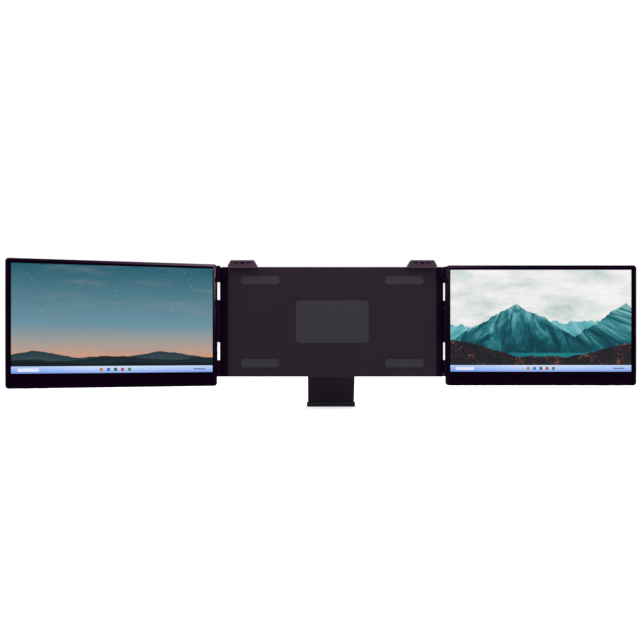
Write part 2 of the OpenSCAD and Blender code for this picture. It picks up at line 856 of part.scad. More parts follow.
// A ring of points square to the path at point i
function ring(path, i) =
    let (a = path[max(i - 1, 0)],
         b = path[min(i + 1, len(path) - 1)],
         t = unit(b - a),
         side = unit(cross(t, [0.31, 0.17, 0.93])),
         up = cross(t, side))
    [for (j = [0 : wire_sides - 1])
        path[i] + wire_r * (side * cos(j * 360 / wire_sides) + up * sin(j * 360 / wire_sides))];

module wire(path) {
    n = len(path);
    points = [for (i = [0 : n - 1]) each ring(path, i)];
    sides = [for (i = [0 : n - 2], j = [0 : wire_sides - 1])
        let (a = i * wire_sides + j, b = i * wire_sides + (j + 1) % wire_sides)
        each [[a, a + wire_sides, b + wire_sides], [a, b + wire_sides, b]]];
    first = [[for (j = [0 : wire_sides - 1]) j]];
    last = [[for (j = [0 : wire_sides - 1]) n * wire_sides - 1 - j]];
    polyhedron(points, concat(sides, first, last));
}

module clip_spring() {
    path = concat(loop_points(spring_low, 1, -200), coil_points(spring_low + 2.6, spring_high - 2.6),
                  loop_points(spring_high, 1, -70));
    color(steel_colour) translate([0, spring_y, 0]) wire(path);
}

// ---- Stand ----

module stand_bracket() {
    back = bracket_d + base_t;
    color(metal_paint)
    difference() {
        union() {
            plate([-base_half, base_half], [bracket_d, back],
                  [stand_z - base_half_h, stand_z + base_half_h], base_r);
            on_both_sides() {
                rod_x(stand_y, stand_z, ear_r, [ear_x0, ear_x0 + ear_t]);
                block([ear_x0, bracket_d + 0.5, stand_z - ear_r], [ear_x0 + ear_t, stand_y, stand_z + ear_r]);
            }
        }
        rod_x(stand_y, stand_z, stand_pin_r, [-base_half, base_half]);
        for (x = [-base_screw_x, base_screw_x], s = [-1, 1]) {
            rod_y(x, stand_z + s * base_screw_dz, plate_screw_r + 0.1, [0, back + past]);
            rod_y(x, stand_z + s * base_screw_dz, bracket_head_r + fit_gap,
                  [back - screw_recess, back + past]);
        }
    }
}

module stand_screws() {
    back = bracket_d + base_t;
    color(steel_colour)
    for (x = [-base_screw_x, base_screw_x], s = [-1, 1])
        screw(x, stand_z + s * base_screw_dz, plate_screw_r, bracket_head_r,
              spine_y1 + 1, back - head_sink);
}

module stand_pin() {
    color(steel_colour)
    rod_x(stand_y, stand_z, stand_pin_r, [-ear_x0 - ear_t, ear_x0 + ear_t]);
}

module stand_washers() {
    middle = (ear_x0 + leg_knuckle_x1) / 2;
    color(aluminium_colour)
    on_both_sides()
        difference() {
            rod_x(stand_y, stand_z, leg_knuckle_r - 0.1,
                  [middle - stand_washer_half, middle + stand_washer_half]);
            rod_x(stand_y, stand_z, stand_pin_r + running_gap, [middle - past, middle + past]);
        }
}

module stand_leg() {
    color(metal_paint)
    on_stand()
    difference() {
        union() {
            plate([-leg_half, leg_half], [leg_front, slot_y], [-leg_l, leg_top], leg_r);
            on_both_sides() {
                rod_x(0, 0, leg_knuckle_r, [leg_knuckle_x0, leg_knuckle_x1]);
                block([leg_knuckle_x0, -tongue_t / 2, leg_top - 4], [leg_knuckle_x1, tongue_t / 2, 0]);
            }
        }
        rod_x(0, 0, stand_pin_r + running_gap, [-base_half, base_half]);
        block([-slot_half, -slot_y, -leg_l - past], [slot_half, slot_y + past, slot_top]);
        for (x = [-friction_x, friction_x])
            block([x - friction_bed_half, -slot_y - friction_bed, friction_bed_zs[0]],
                  [x + friction_bed_half, 0, friction_bed_zs[1]]);
    }
}

module stand_leg_cover() {
    color(cover_colour)
    on_stand()
    difference() {
        plate([-leg_half, leg_half], [slot_y, leg_back], [-leg_l, leg_top], leg_r);
        plate([-notch_half, notch_half], [0, leg_back + past],
              [-leg_l - notch_half, -leg_l + notch_h], leg_r);
    }
}

module foot_plate() {
    color(metal_paint)
    on_stand()
    difference() {
        plate([-foot_w / 2, foot_w / 2], [-foot_t / 2, foot_t / 2], [foot_end, foot_top], foot_r);
        for (z = [foot_end + 20 : grip_pitch : foot_end + 44])
            plate([-grip_half, grip_half], [foot_t / 2 - grip_depth, foot_t], [z, z + grip_w], 0.45 * grip_w);
    }
}

module foot_friction_springs() {
    low = -slot_y - friction_bed + running_gap;
    high = -foot_t / 2 - friction_t - running_gap;
    bow = [[low, friction_zs[0]], [low + friction_t, friction_zs[0]], [high + friction_t, friction_zs[1]],
           [low + friction_t, friction_zs[2]], [low, friction_zs[2]], [high, friction_zs[1]]];
    color(steel_colour)
    on_stand()
        for (x = [-friction_x, friction_x])
            along_x(bow, [x - friction_half_w, x + friction_half_w]);
}

module foot_sole() {
    sole = [[sole_y - 6.5, -desk_drop], [sole_y + 8.5, -desk_drop], [sole_y + 9, -desk_drop + 1],
            [sole_y + 1.6, -desk_drop + sole_h], [sole_y - 5.4, -desk_drop + sole_h],
            [sole_y - 7, -desk_drop + 1]];
    color(rubber_colour)
    difference() {
        along_x(sole, [-sole_half, sole_half]);
        on_stand()
            plate([-foot_w / 2, foot_w / 2], [-foot_t / 2, foot_t / 2], [foot_end, foot_top], foot_r);
    }
}

// ---- Nodes of each side ----

module left_hinge_rail() { mirror([1, 0, 0]) hinge_rail(left_hinge_front, left_wing_w); }
module right_hinge_rail() { hinge_rail(right_hinge_front, right_wing_w); }
module left_hinge_pins() { mirror([1, 0, 0]) hinge_pins(left_hinge_front); }
module right_hinge_pins() { hinge_pins(right_hinge_front); }
module left_hinge_washers() { mirror([1, 0, 0]) hinge_washers(left_hinge_front); }
module right_hinge_washers() { hinge_washers(right_hinge_front); }
module left_clip() { at_clip(-1) clip(); }
module right_clip() { at_clip(1) clip(); }
module left_clip_liner() { at_clip(-1) clip_liner(); }
module right_clip_liner() { at_clip(1) clip_liner(); }
module left_clip_spring() { at_clip(-1) clip_spring(); }
module right_clip_spring() { at_clip(1) clip_spring(); }
module left_front_bezel() { on_left() front_bezel(); }
module right_front_bezel() { on_right() front_bezel(); }
module left_rear_cover() { on_left() rear_cover(); }
module right_rear_cover() { on_right() rear_cover(); }
module left_lcd_panel() { on_left() lcd_panel(); }
module right_lcd_panel() { on_right() lcd_panel(); }
module left_backlight() { on_left() backlight(); }
module right_backlight() { on_right() backlight(); }
module left_chassis_sheet() { on_left() chassis_sheet(); }
module right_chassis_sheet() { on_right() chassis_sheet(); }
module left_hinge_leaf() { on_left() hinge_leaf(left_strip_x); }
module right_hinge_leaf() { on_right() hinge_leaf(right_strip_x); }
module left_driver_board() { on_left() driver_board(); }
module right_driver_board() { on_right() driver_board(); }
module left_panel_ribbon() { on_left() panel_ribbon(); }
module right_panel_ribbon() { on_right() panel_ribbon(); }
module left_speakers() { on_left() speakers(); }
module right_speakers() { on_right() speakers(); }
module left_ports() { on_left() ports(); }
module right_ports() { on_right() ports(); }
module left_power_button() { on_left() power_button(); }
module right_power_button() { on_right() power_button(); }
module left_menu_rocker() { on_left() menu_rocker(); }
module right_menu_rocker() { on_right() menu_rocker(); }
module left_cover_screws() { on_left() cover_screws(); }
module right_cover_screws() { on_right() cover_screws(); }

front_plate();
bracket_cover();
spine_plate();
lid_pads();
plate_screws();
rail_screws();
left_hinge_rail();
right_hinge_rail();
left_hinge_pins();
right_hinge_pins();
left_hinge_washers();
right_hinge_washers();
left_clip();
right_clip();
left_clip_liner();
right_clip_liner();
left_clip_spring();
right_clip_spring();
stand_bracket();
stand_screws();
stand_pin();
stand_washers();
stand_leg();
stand_leg_cover();
foot_plate();
foot_friction_springs();
foot_sole();
left_front_bezel();
right_front_bezel();
left_rear_cover();
right_rear_cover();
left_lcd_panel();
right_lcd_panel();
left_backlight();
right_backlight();
left_chassis_sheet();
right_chassis_sheet();
left_hinge_leaf();
right_hinge_leaf();
left_driver_board();
right_driver_board();
left_panel_ribbon();
right_panel_ribbon();
left_speakers();
right_speakers();
left_ports();
right_ports();
left_power_button();
right_power_button();
left_menu_rocker();
right_menu_rocker();
left_cover_screws();
right_cover_screws();
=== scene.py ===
import json
import math
from functools import partial
from itertools import product

import bmesh
import bpy
import numpy as np
from mathutils.geometry import delaunay_2d_cdt
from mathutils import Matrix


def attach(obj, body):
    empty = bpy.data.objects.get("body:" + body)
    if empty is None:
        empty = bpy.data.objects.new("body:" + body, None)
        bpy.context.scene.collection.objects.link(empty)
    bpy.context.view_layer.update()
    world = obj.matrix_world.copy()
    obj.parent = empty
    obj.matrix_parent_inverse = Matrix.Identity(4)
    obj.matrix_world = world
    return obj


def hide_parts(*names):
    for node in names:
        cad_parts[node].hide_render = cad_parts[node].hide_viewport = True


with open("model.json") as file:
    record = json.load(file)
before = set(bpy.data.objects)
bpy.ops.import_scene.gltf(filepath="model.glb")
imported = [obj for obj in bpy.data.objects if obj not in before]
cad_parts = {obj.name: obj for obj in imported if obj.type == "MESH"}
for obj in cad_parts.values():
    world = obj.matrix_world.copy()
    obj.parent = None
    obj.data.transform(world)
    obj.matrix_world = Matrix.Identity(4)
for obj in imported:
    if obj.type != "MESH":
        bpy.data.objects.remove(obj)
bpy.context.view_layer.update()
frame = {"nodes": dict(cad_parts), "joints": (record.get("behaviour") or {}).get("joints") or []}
joints = {j["name"]: j for j in frame["joints"]}

mm = 0.001
sides = ("left", "right")
sharpDegrees = 35  # edges that turn by more stay sharp
weld = 1e-6  # points closer than this are merged, in m
past = 1.0  # how far a tool reaches past what it cuts, or a part into what it joins, in mm
hair = 0.01  # keeps faces of parts that grow together from coinciding, in mm
headGap = 0.1  # how deep a screw head lies below its face, in mm

# places, all read from the frame
hinge = {side: np.array(joints[side + "_screen_hinge"]["pos_m"]) / mm for side in sides}
leftNormal = joints["left_menu_rock"]["axis"]
toeIn = math.atan2(-leftNormal[0], leftNormal[1])
standAxis = np.array(joints["stand_fold"]["pos_m"]) / mm
legDirection = joints["stand_extend"]["axis"]
lean = math.atan2(legDirection[1], -legDirection[2])


def onScreen(side):
    # a screen is drawn with x outwards and y backwards from its hinge axis; the left one is
    # mirrored and then turned by the toe-in
    c, s = math.cos(toeIn), math.sin(toeIn)
    turn = np.eye(3) if side == "right" else np.array([[-c, -s, 0], [-s, c, 0], [0, 0, 1]])
    return lambda points: points @ turn.T + hinge[side]


def onStand(points):
    # the leg is drawn hanging straight down from its axis, then turned back by the lean
    c, s = math.cos(lean), math.sin(lean)
    turn = np.array([[1, 0, 0], [0, c, -s], [0, s, c]])
    return points @ turn.T + standAxis


def onSide(side, offset=0.0):
    # right-hand parts as drawn, moved outwards by the offset; left-hand ones mirrored
    sign = 1 if side == "right" else -1
    return lambda points: (points + [offset, 0, 0]) * [sign, 1, 1]


def asDrawn(points):
    return points


# shapes, in mm

def outline(corners, radii, inset=0.0, steps=6):
    # closed outline with rounded corners: at each corner an arc turns from one edge's normal to
    # the next edge's, round the point that is one radius inside both edges. An inset changes
    # the arcs' radii, so all edges move in by it. Corners run anticlockwise.
    p = np.asarray(corners, float)
    into = p - np.roll(p, 1, 0)
    out = np.roll(p, -1, 0) - p
    into /= np.linalg.norm(into, axis=1)[:, None]
    out /= np.linalg.norm(out, axis=1)[:, None]
    normalIn = np.stack([into[:, 1], -into[:, 0]], 1)
    normalOut = np.stack([out[:, 1], -out[:, 0]], 1)
    turn = np.arctan2(into[:, 0] * out[:, 1] - into[:, 1] * out[:, 0], (into * out).sum(1))
    bend = np.sign(turn)
    r = np.maximum(np.broadcast_to(np.asarray(radii, float), (len(p),)), bend * inset)
    miter = (normalIn + normalOut) / (1 + (normalIn * normalOut).sum(1))[:, None]
    centre = p - (bend * r)[:, None] * miter
    start = np.arctan2(normalIn[:, 1], normalIn[:, 0])[:, None]
    angle = start + turn[:, None] * np.linspace(0, 1, steps + 1)
    reach = (bend * r - inset)[:, None]
    ring = np.stack([centre[:, :1] + reach * np.cos(angle), centre[:, 1:] + reach * np.sin(angle)], 2)
    return ring.reshape(-1, 2)


def rectangle(x0, x1, z0, z1):
    return [(x0, z0), (x1, z0), (x1, z1), (x0, z1)]


def lifted(ring, depth, axis):
    # a flat outline put at a place on an axis
    return np.insert(ring, "xyz".index(axis), depth, axis=1)


def stack(loops, ends=True):
    # loops of equal length joined by quads, with one flat face on each end
    loops = np.asarray(loops, float)
    m, n = loops.shape[:2]
    i, j = np.meshgrid(np.arange(m - 1), np.arange(n), indexing="ij")
    k = (j + 1) % n
    faces = np.stack([i * n + j, i * n + k, (i + 1) * n + k, (i + 1) * n + j], 2).reshape(-1, 4).tolist()
    if ends:
        faces += [list(range(n))[::-1], list(range((m - 1) * n, m * n))]
    return loops.reshape(-1, 3), faces


def rings(corners, radii, stations, axis="y", steps=6):
    # an outline along an axis: each station is (inset of the outline, place on the axis)
    return [lifted(outline(corners, radii, inset, steps), depth, axis) for inset, depth in stations]


def carried(corners, radii, stations, axis="y", steps=6, ends=True):
    return stack(rings(corners, radii, stations, axis, steps), ends)


def sheet(v, stations, steps=8):
    # a plate whose outline is the same on both sides of the middle
    return carried(rectangle(-v["half"], v["half"], *v["z"]), v["corner"], stations, steps=steps)


def quarter(insetFrom, insetTo, depthFrom, depthTo, alongDepth, count=4):
    # stations of a quarter ellipse between two (inset, depth) points, which sets out along the
    # depth or along the inset
    t = np.linspace(0, math.pi / 2, count + 1)
    a, b = (1 - np.cos(t), np.sin(t)) if alongDepth else (np.sin(t), 1 - np.cos(t))
    return list(zip(insetFrom + (insetTo - insetFrom) * a, depthFrom + (depthTo - depthFrom) * b))


def edged(low, high, soft, count=3):
    # stations of a plate from low to high with quarter-round edges
    return quarter(soft, 0, low, low + soft, False, count) + quarter(0, soft, high - soft, high, True, count)


def flared(start, surface, flare):
    # stations of a cutting tool that widens where it comes out through a surface: how far below
    # the surface the flare begins, how far above it the flare ends, and by how much it widens
    before, after, wider = flare
    return [(0, start), (0, surface - before), (-wider, surface + after), (-wider, surface + past)]


def face(loops, depth):
    # flat face at y = depth, inside the first loop and outside the others: a constrained
    # triangulation, of which the triangles whose middle is in a hole by the even-odd rule are left out
    edges = []
    for loop in loops:
        n, first = len(loop), len(edges)
        edges += [(first + i, first + (i + 1) % n) for i in range(n)]
    corners, _, triangles, *_ = delaunay_2d_cdt(np.concatenate(loops).tolist(), edges, [], 1, 1e-7)
    corners = np.array([tuple(c) for c in corners])
    triangles = np.array(triangles)
    middle = corners[triangles].mean(1)
    keep = np.ones(len(triangles), bool)
    for loop in loops[1:]:
        a, b = loop, np.roll(loop, -1, 0)
        spans = (a[:, 1] > middle[:, 1:]) != (b[:, 1] > middle[:, 1:])
        rise = np.where(b[:, 1] == a[:, 1], 1, b[:, 1] - a[:, 1])
        crossing = a[:, 0] + (middle[:, 1:] - a[:, 1]) / rise * (b[:, 0] - a[:, 0])
        keep &= (spans & (crossing > middle[:, :1])).sum(1) % 2 == 0
    return lifted(corners, depth, "y"), triangles[keep].tolist()


def revolved(profile, centre=(0, 0), steps=32):
    # a profile of (radius, y) points turned round an axis along y
    a = np.linspace(0, 2 * math.pi, steps, endpoint=False)
    circle = np.stack([np.cos(a), np.sin(a)], 1)
    return stack([lifted(circle * r + centre, depth, "y") for r, depth in profile])


def meshFrom(parts):
    # one mesh in metres from (points, faces) parts in mm, merged and turned outwards
    points = np.concatenate([p for p, f in parts])
    start = np.cumsum([0] + [len(p) for p, f in parts]).tolist()
    faces = [[v + s for v in corners] for (p, f), s in zip(parts, start) for corners in f]
    mesh = bpy.data.meshes.new("part")
    mesh.from_pydata((points * mm).tolist(), [], faces)
    work = bmesh.new()
    work.from_mesh(mesh)
    bmesh.ops.remove_doubles(work, verts=work.verts, dist=weld)
    bmesh.ops.recalc_face_normals(work, faces=work.faces)
    work.to_mesh(mesh)
    work.free()
    return mesh


def linked(name, data):
    obj = bpy.data.objects.new(name, data)
    bpy.context.scene.collection.objects.link(obj)
    return obj


def combined(base, groups, operation):
    # boolean of closed meshes, applied at once, with one group of tools after another
    base = meshFrom(base) if isinstance(base, list) else base
    for group in groups:
        objects = [linked("shape", mesh) for mesh in (base, meshFrom(group))]
        boolean = objects[0].modifiers.new("boolean", "BOOLEAN")
        boolean.object, boolean.operation, boolean.solver = objects[1], operation, "EXACT"
        graph = bpy.context.evaluated_depsgraph_get()
        base = bpy.data.meshes.new_from_object(objects[0].evaluated_get(graph))
        for o in objects:
            bpy.data.objects.remove(o)
    return base


def cut(base, tools):
    return combined(base, [tools], "DIFFERENCE")


def grown(base, tools):
    return combined(base, [[tool] for tool in tools], "UNION")


def pointsOf(mesh):
    # a mesh's points in mm
    points = np.empty(len(mesh.vertices) * 3)
    mesh.vertices.foreach_get("co", points)
    return points.reshape(-1, 3) / mm


def piece(name, shape, place, body, material, nodes=(), second=None, uv=None):
    # puts a shape where it belongs, shades it, and hangs it on its body in place of its CAD nodes.
    # second is another material and a test of the faces' middles, as drawn, for where it goes; uv
    # is a function of the points as drawn.
    mesh = meshFrom(shape) if isinstance(shape, list) else shape.copy()
    mesh.name = name
    drawn = pointsOf(mesh)
    mesh.materials.clear()
    mesh.materials.append(material)
    if second:
        mesh.materials.append(second[0])
        middle = np.empty(len(mesh.polygons) * 3)
        mesh.polygons.foreach_get("center", middle)
        mesh.polygons.foreach_set("material_index", second[1](middle.reshape(-1, 3) / mm).astype(int))
    if uv:
        owner = np.empty(len(mesh.loops), int)
        mesh.loops.foreach_get("vertex_index", owner)
        mesh.uv_layers.new(name="picture").data.foreach_set("uv", uv(drawn[owner]).ravel())
    mesh.vertices.foreach_set("co", (place(drawn) * mm).ravel())
    axes = place(np.vstack([np.zeros(3), np.eye(3)]))
    if np.linalg.det(axes[1:] - axes[0]) < 0:
        mesh.flip_normals()
    mesh.polygons.foreach_set("use_smooth", np.ones(len(mesh.polygons), bool))
    mesh.set_sharp_from_angle(angle=math.radians(sharpDegrees))
    obj = linked(name, mesh)
    level = obj.modifiers.new("flat faces stay flat", "WEIGHTED_NORMAL")
    level.keep_sharp = True
    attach(obj, body)
    if nodes:
        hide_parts(*nodes)


# materials

def linear(hexColour):
    # sRGB hex to linear RGBA
    c = np.array([int(hexColour[i:i + 2], 16) for i in (1, 3, 5)]) / 255
    c = np.where(c <= 0.04045, c / 12.92, ((c + 0.055) / 1.055) ** 2.4)
    return (*c.tolist(), 1.0)


def addNode(tree, kind, *inputs, stops=None, **settings):
    # adds a node, sets its properties and colour stops, and fills its sockets, in order or by a
    # dictionary of names, with values, hex colours or other nodes' outputs
    node = tree.nodes.new("ShaderNode" + kind)
    for key, value in settings.items():
        setattr(node, key, value)
    if stops:
        ramp = node.color_ramp.elements
        ramp[0].position, ramp[1].position = stops[0][0], stops[-1][0]
        for place, _ in stops[1:-1]:
            ramp.new(place)
        for stop, (place, colour) in zip(ramp, stops):
            stop.color = linear(colour)
    named = inputs[0] if inputs and isinstance(inputs[0], dict) else dict(enumerate(inputs))
    for key, value in named.items():
        socket = node.inputs[key]
        if isinstance(value, bpy.types.Node):
            value = value.outputs[0]
        if isinstance(value, bpy.types.NodeSocket):
            tree.links.new(value, socket)
        else:
            socket.default_value = linear(value) if isinstance(value, str) else value
    return node


def newMaterial(name):
    # a material and the function that adds nodes to it
    material = bpy.data.materials.new(name)
    material.use_nodes = True
    material.node_tree.nodes.clear()
    return material, partial(addNode, material.node_tree)


def shade(add, inputs):
    # the shader that ends a material
    add("OutputMaterial", {"Surface": add("BsdfPrincipled", inputs)})


def addPaintedSheen(add, where, colour, fade):
    # adds a painted sheen, a paler colour that fades over a distance: outwards, plus a share of the way
    # down, plus a shift on the right. A strip across x, given by its middle and half width, stays bare of it.
    axes = add("SeparateXYZ", where)
    far = add("Math", axes.outputs["X"], operation="ABSOLUTE")
    far = add("Math", axes.outputs["Z"], -fade["down"], far, operation="MULTIPLY_ADD")
    right = add("Math", axes.outputs["X"], 0.0, operation="GREATER_THAN")
    far = add("Math", right, fade["rightShiftMm"] * mm, far, operation="MULTIPLY_ADD")
    low, high = fade["mm"]
    far = add("MapRange", far, low * mm, high * mm)
    sheenColour = add("ValToRGB", far, stops=fade["stops"])
    # the bare strip lies on the left hinge side's rounded outer edge and keeps the dark colour there as
    # painted shade
    middle, half = fade["shadeStripMm"]
    shadeStrip = add("Math", axes.outputs["X"], middle * mm, half * mm, operation="COMPARE")
    sheenColour = add("MixRGB", shadeStrip, sheenColour, "#000000")
    return add("MixRGB", 1.0, colour, sheenColour, blend_type="ADD")


def surface(name, colours, mottleMm, grainMm, roughness, grainDepthMm=0.01, metallic=0.0, specular=0.5,
            tint="#ffffff", fade=None):
    # a solid finish, at real sizes in mm on Object coordinates: two near colours mottled over
    # centimetres, a roughness that wanders between two values, and a fine grain as bump. The tint
    # colours the reflections.
    material, add = newMaterial(name)
    where = add("TexCoord").outputs["Object"]
    mottle = add("TexNoise", {"Vector": where, "Scale": 1 / (mottleMm * mm), "Detail": 3.0})
    grain = add("TexNoise", {"Vector": where, "Scale": 1 / (grainMm * mm), "Detail": 2.0})
    colour = add("MixRGB", mottle, colours[0], colours[1])
    # where a fade is given, a painted sheen is added over the colour
    if fade:
        colour = addPaintedSheen(add, where, colour, fade)
    rough = add("MapRange", mottle, 0.35, 0.65, *roughness)  # the noise's own low and high
    bump = add("Bump", {"Height": grain, "Distance": grainDepthMm * mm, "Strength": 1.0})
    shade(add, {"Base Color": colour, "Roughness": rough, "Normal": bump, "Metallic": metallic,
                "Specular IOR Level": specular, "Specular Tint": tint})
    return material


# bezel faces: moulded ABS with a fine spark-eroded texture that swallows the light
mouldedAbs = surface("moulded_abs", ("#08000a", "#0b000e"), mottleMm=60, grainMm=0.6, grainDepthMm=0.02,
                     roughness=(0.5, 0.6), specular=0.01, tint="#ffc8ff")

# bezel rims: the same ABS under a satin lacquer, with a painted sheen that makes the colour paler
# towards the hinges' upper ends and fades outwards and downwards, less on the right screen
paintedRimSheen = dict(
    # the strip across x is left dark as painted shade of the left hinge side's rounded outer edge
    down=2.0, rightShiftMm=120, mm=(5, 355), shadeStripMm=(-185.0, 2.3),
    stops=[(0.0, "#68565f"), (0.2, "#534250"), (0.37, "#36253b"), (0.6, "#110713"), (1.0, "#010002")])
# the rim material's paler colour near the hinges' tops is a painted highlight, not wear
sheenPaintedAbs = surface("lacquered_abs_painted_sheen", ("#040007", "#07010a"), mottleMm=60, grainMm=1.5, grainDepthMm=0.004,
                       roughness=(0.3, 0.36), specular=0.03, tint="#ffd0f6", fade=paintedRimSheen)

# rear covers and bracket: the same ABS in a coarser texture
texturedAbs = surface("textured_abs", ("#191219", "#1f1720"), mottleMm=60, grainMm=0.9, grainDepthMm=0.05,
                      roughness=(0.45, 0.55), specular=0.15, tint="#ffe4ff")

# clips: glass-filled nylon, a little lighter and more matte than the ABS
filledNylon = surface("filled_nylon", ("#3a2838", "#432f40"), mottleMm=20, grainMm=0.7, grainDepthMm=0.03,
                      roughness=(0.4, 0.5), specular=0.12)

# dark sheets on the floors of the clips' recessed marks: painted shade in the recesses
recessShade = surface("recess_painted_shade", ("#0a0009", "#0d000c"), mottleMm=5, grainMm=0.4, roughness=(0.5, 0.6),
                     specular=0.05)

# stand: powder coat on steel, whose orange peel shows as a slow ripple
powderCoat = surface("powder_coat", ("#141017", "#1a151d"), mottleMm=40, grainMm=1.1, grainDepthMm=0.04,
                     roughness=(0.36, 0.46), specular=0.12, tint="#ffe4ff")

# rails: the same coat in the casing's colour, a little glossier
railCoat = surface("rail_coat", ("#0c0211", "#110417"), mottleMm=40, grainMm=1.1, grainDepthMm=0.04,
                   roughness=(0.34, 0.42), specular=0.04, tint="#ffc0ff")

# pads, liners, sole and speaker seals: silicone, dull and slightly dusty
silicone = surface("silicone", ("#2b2a2f", "#333238"), mottleMm=15, grainMm=0.5, grainDepthMm=0.02,
                   roughness=(0.7, 0.82), specular=0.2)

# buttons: polished ABS caps
satinAbs = surface("satin_abs", ("#262028", "#2c262e"), mottleMm=10, grainMm=0.4, roughness=(0.3, 0.36),
                   specular=0.4)

# screws: black oxide on steel, whose thin layer leaves a dark metal sheen
blackOxide = surface("black_oxide", ("#2a292d", "#353439"), mottleMm=4, grainMm=0.4, roughness=(0.3, 0.45),
                     metallic=1.0)

# hinge leaves, pins and washers: black zinc plate, duller where the leaves rub
blackZinc = surface("black_zinc", ("#09020d", "#0f0512"), mottleMm=6, grainMm=0.3, roughness=(0.34, 0.46),
                    specular=0.04, tint="#ffc0ff")

# springs, spine and stand pin: bright zinc plate
brightZinc = surface("bright_zinc", ("#8f9196", "#a3a5aa"), mottleMm=6, grainMm=0.3, roughness=(0.28, 0.4),
                     metallic=1.0)

# port shells: nickel plate, warmer and smoother than the zinc
nickel = surface("nickel_plate", ("#b9b4aa", "#c6c2b9"), mottleMm=3, grainMm=0.3, grainDepthMm=0.005,
                 roughness=(0.2, 0.3), metallic=1.0)

# inner sheets, guides, boards and film, seen only where a cover is open
rolledAluminium = surface("rolled_aluminium", ("#c4c6ca", "#d0d2d5"), mottleMm=12, grainMm=0.5,
                          roughness=(0.35, 0.45), metallic=1.0)
frostedAcrylic = surface("frosted_acrylic", ("#e4e7ea", "#edeff1"), mottleMm=30, grainMm=0.5,
                         roughness=(0.3, 0.4))
solderMask = surface("solder_mask", ("#0e4a2c", "#125635"), mottleMm=6, grainMm=0.6, roughness=(0.3, 0.45))
polyimide = surface("polyimide_film", ("#a96a22", "#b87828"), mottleMm=8, grainMm=0.5, roughness=(0.25, 0.35))

# CAD nodes that keep their own shape
finishes = {plain: material for material, names in (
    (brightZinc, "spine_plate stand_pin foot_friction_springs clip_spring"),
    (blackZinc, "hinge_leaf hinge_pins hinge_washers stand_washers"), (silicone, "clip_liner speakers"),
    (frostedAcrylic, "backlight"), (rolledAluminium, "chassis_sheet"), (solderMask, "driver_board"),
    (polyimide, "panel_ribbon"), (nickel, "ports")) for plain in names.split()}
for nodeName, node in frame["nodes"].items():
    plain = nodeName.removeprefix("left_").removeprefix("right_")
    node.data.materials.clear()
    node.data.materials.append(finishes.get(plain, texturedAbs))
print("materials ready")

# screens
bezel = dict(
    x=(2.55, 311.9), z=(-104.0, 91.5), cornerRadius=5.0, rimWidth=4.0, hingeRimExtra=1.6, rimFront=1.5,
    face=2.0, faceBack=2.9, seam=3.8, seamEdge=0.15, outerEdge=0.8, innerEdge=0.5, roll=0.1,
    windowX=(9.65, 304.15), windowZ=(-81.46, 84.19), windowRadius=0.4, windowSlope=0.6, notchX=6.1,
    notchGap=0.2, notchRadius=0.05)
screenKnuckles = [(-88.8, -85.7), (-69.3, -62.5), (-34, -22.7), (22.7, 34), (62.5, 69.3), (85.7, 88.8)]
control = dict(y=(5.1, 7.9), bottom=-104.5, top=-101.9, power=(284, 9), menu=(262, 16), gap=0.25,
               crown=0.35, corner=0.9)


def makeBezel(v):
    # the case's outline is carried up the outer wall and over the rim, whose inner outline, further
    # in at the hinge side, is carried down to the face. The window's outline is carried through
    # the face with a sloped edge.
    case = rectangle(*v["x"], *v["z"])
    inner = rectangle(v["x"][0] + v["hingeRimExtra"], v["x"][1], *v["z"])
    window = rectangle(*v["windowX"], *v["windowZ"])
    width, front, edge, corner = v["rimWidth"], v["rimFront"], v["outerEdge"], v["cornerRadius"]
    foot = width - v["roll"]
    seam, seamEdge = v["seam"], v["seamEdge"]
    rim = [(width, v["faceBack"]), (width, seam), (seamEdge, seam), (0, seam - seamEdge)]
    rim += quarter(0, edge, front + edge, front, True, 5)
    step = quarter(foot - v["innerEdge"], foot, front, v["face"], False)
    slope, windowCorner = v["windowSlope"], v["windowRadius"]
    through = [(-slope, v["face"]), (0, v["face"] + slope), (0, v["faceBack"])]
    parts = [stack(rings(case, corner, rim, steps=8) + rings(inner, corner, step, steps=8), False),
             carried(window, windowCorner, through, ends=False),
             face([outline(inner, corner, foot, 8), outline(window, windowCorner, -slope)], v["face"]),
             face([outline(case, corner, width, 8), outline(window, windowCorner)], v["faceBack"])]
    notches = [carried(rectangle(0, v["notchX"], low - v["notchGap"], high + v["notchGap"]), v["notchRadius"],
                       [(0, 0), (0, seam + past)]) for low, high in screenKnuckles]
    return cut(parts, notches)


def onFace(middle):
    # whether a face lies further in than the rim
    x, z = middle[:, 0], middle[:, 2]
    hingeSide = x - bezel["x"][0] - bezel["hingeRimExtra"]
    inset = np.minimum.reduce([hingeSide, bezel["x"][1] - x, z - bezel["z"][0], bezel["z"][1] - z])
    return inset > bezel["rimWidth"] - bezel["roll"]


cover = dict(
    wall=1.4, inside=8.7, back=10.0, step=9.4, stepInset=0.8, edge=0.5, screwX=(30, 150, 303.5), screwZ=-95.5,
    recess=(2.05, 0.9), headR=1.85, speakerX=(48, 76), slots=5, slotPitch=4, slotSize=(1.2, 8),
    slotFlare=(0.15, 0.05, 0.2), slotRound=0.95, ports=((206, 11.6), (224, 9.4), (240, 9.4)),
    portY=(4.7, 8.3), portRadius=1.2, mouth=(0.05, 0.25, 0.3))


def screwRecess(radius, depth, back, at, flare=0.15):
    # a round recess with a flared mouth, to be cut into a face at y = back
    mouth = radius + 2 * flare
    return revolved([(radius, back - depth), (radius, back - flare), (mouth, back + flare),
                     (mouth, back + past)], at)


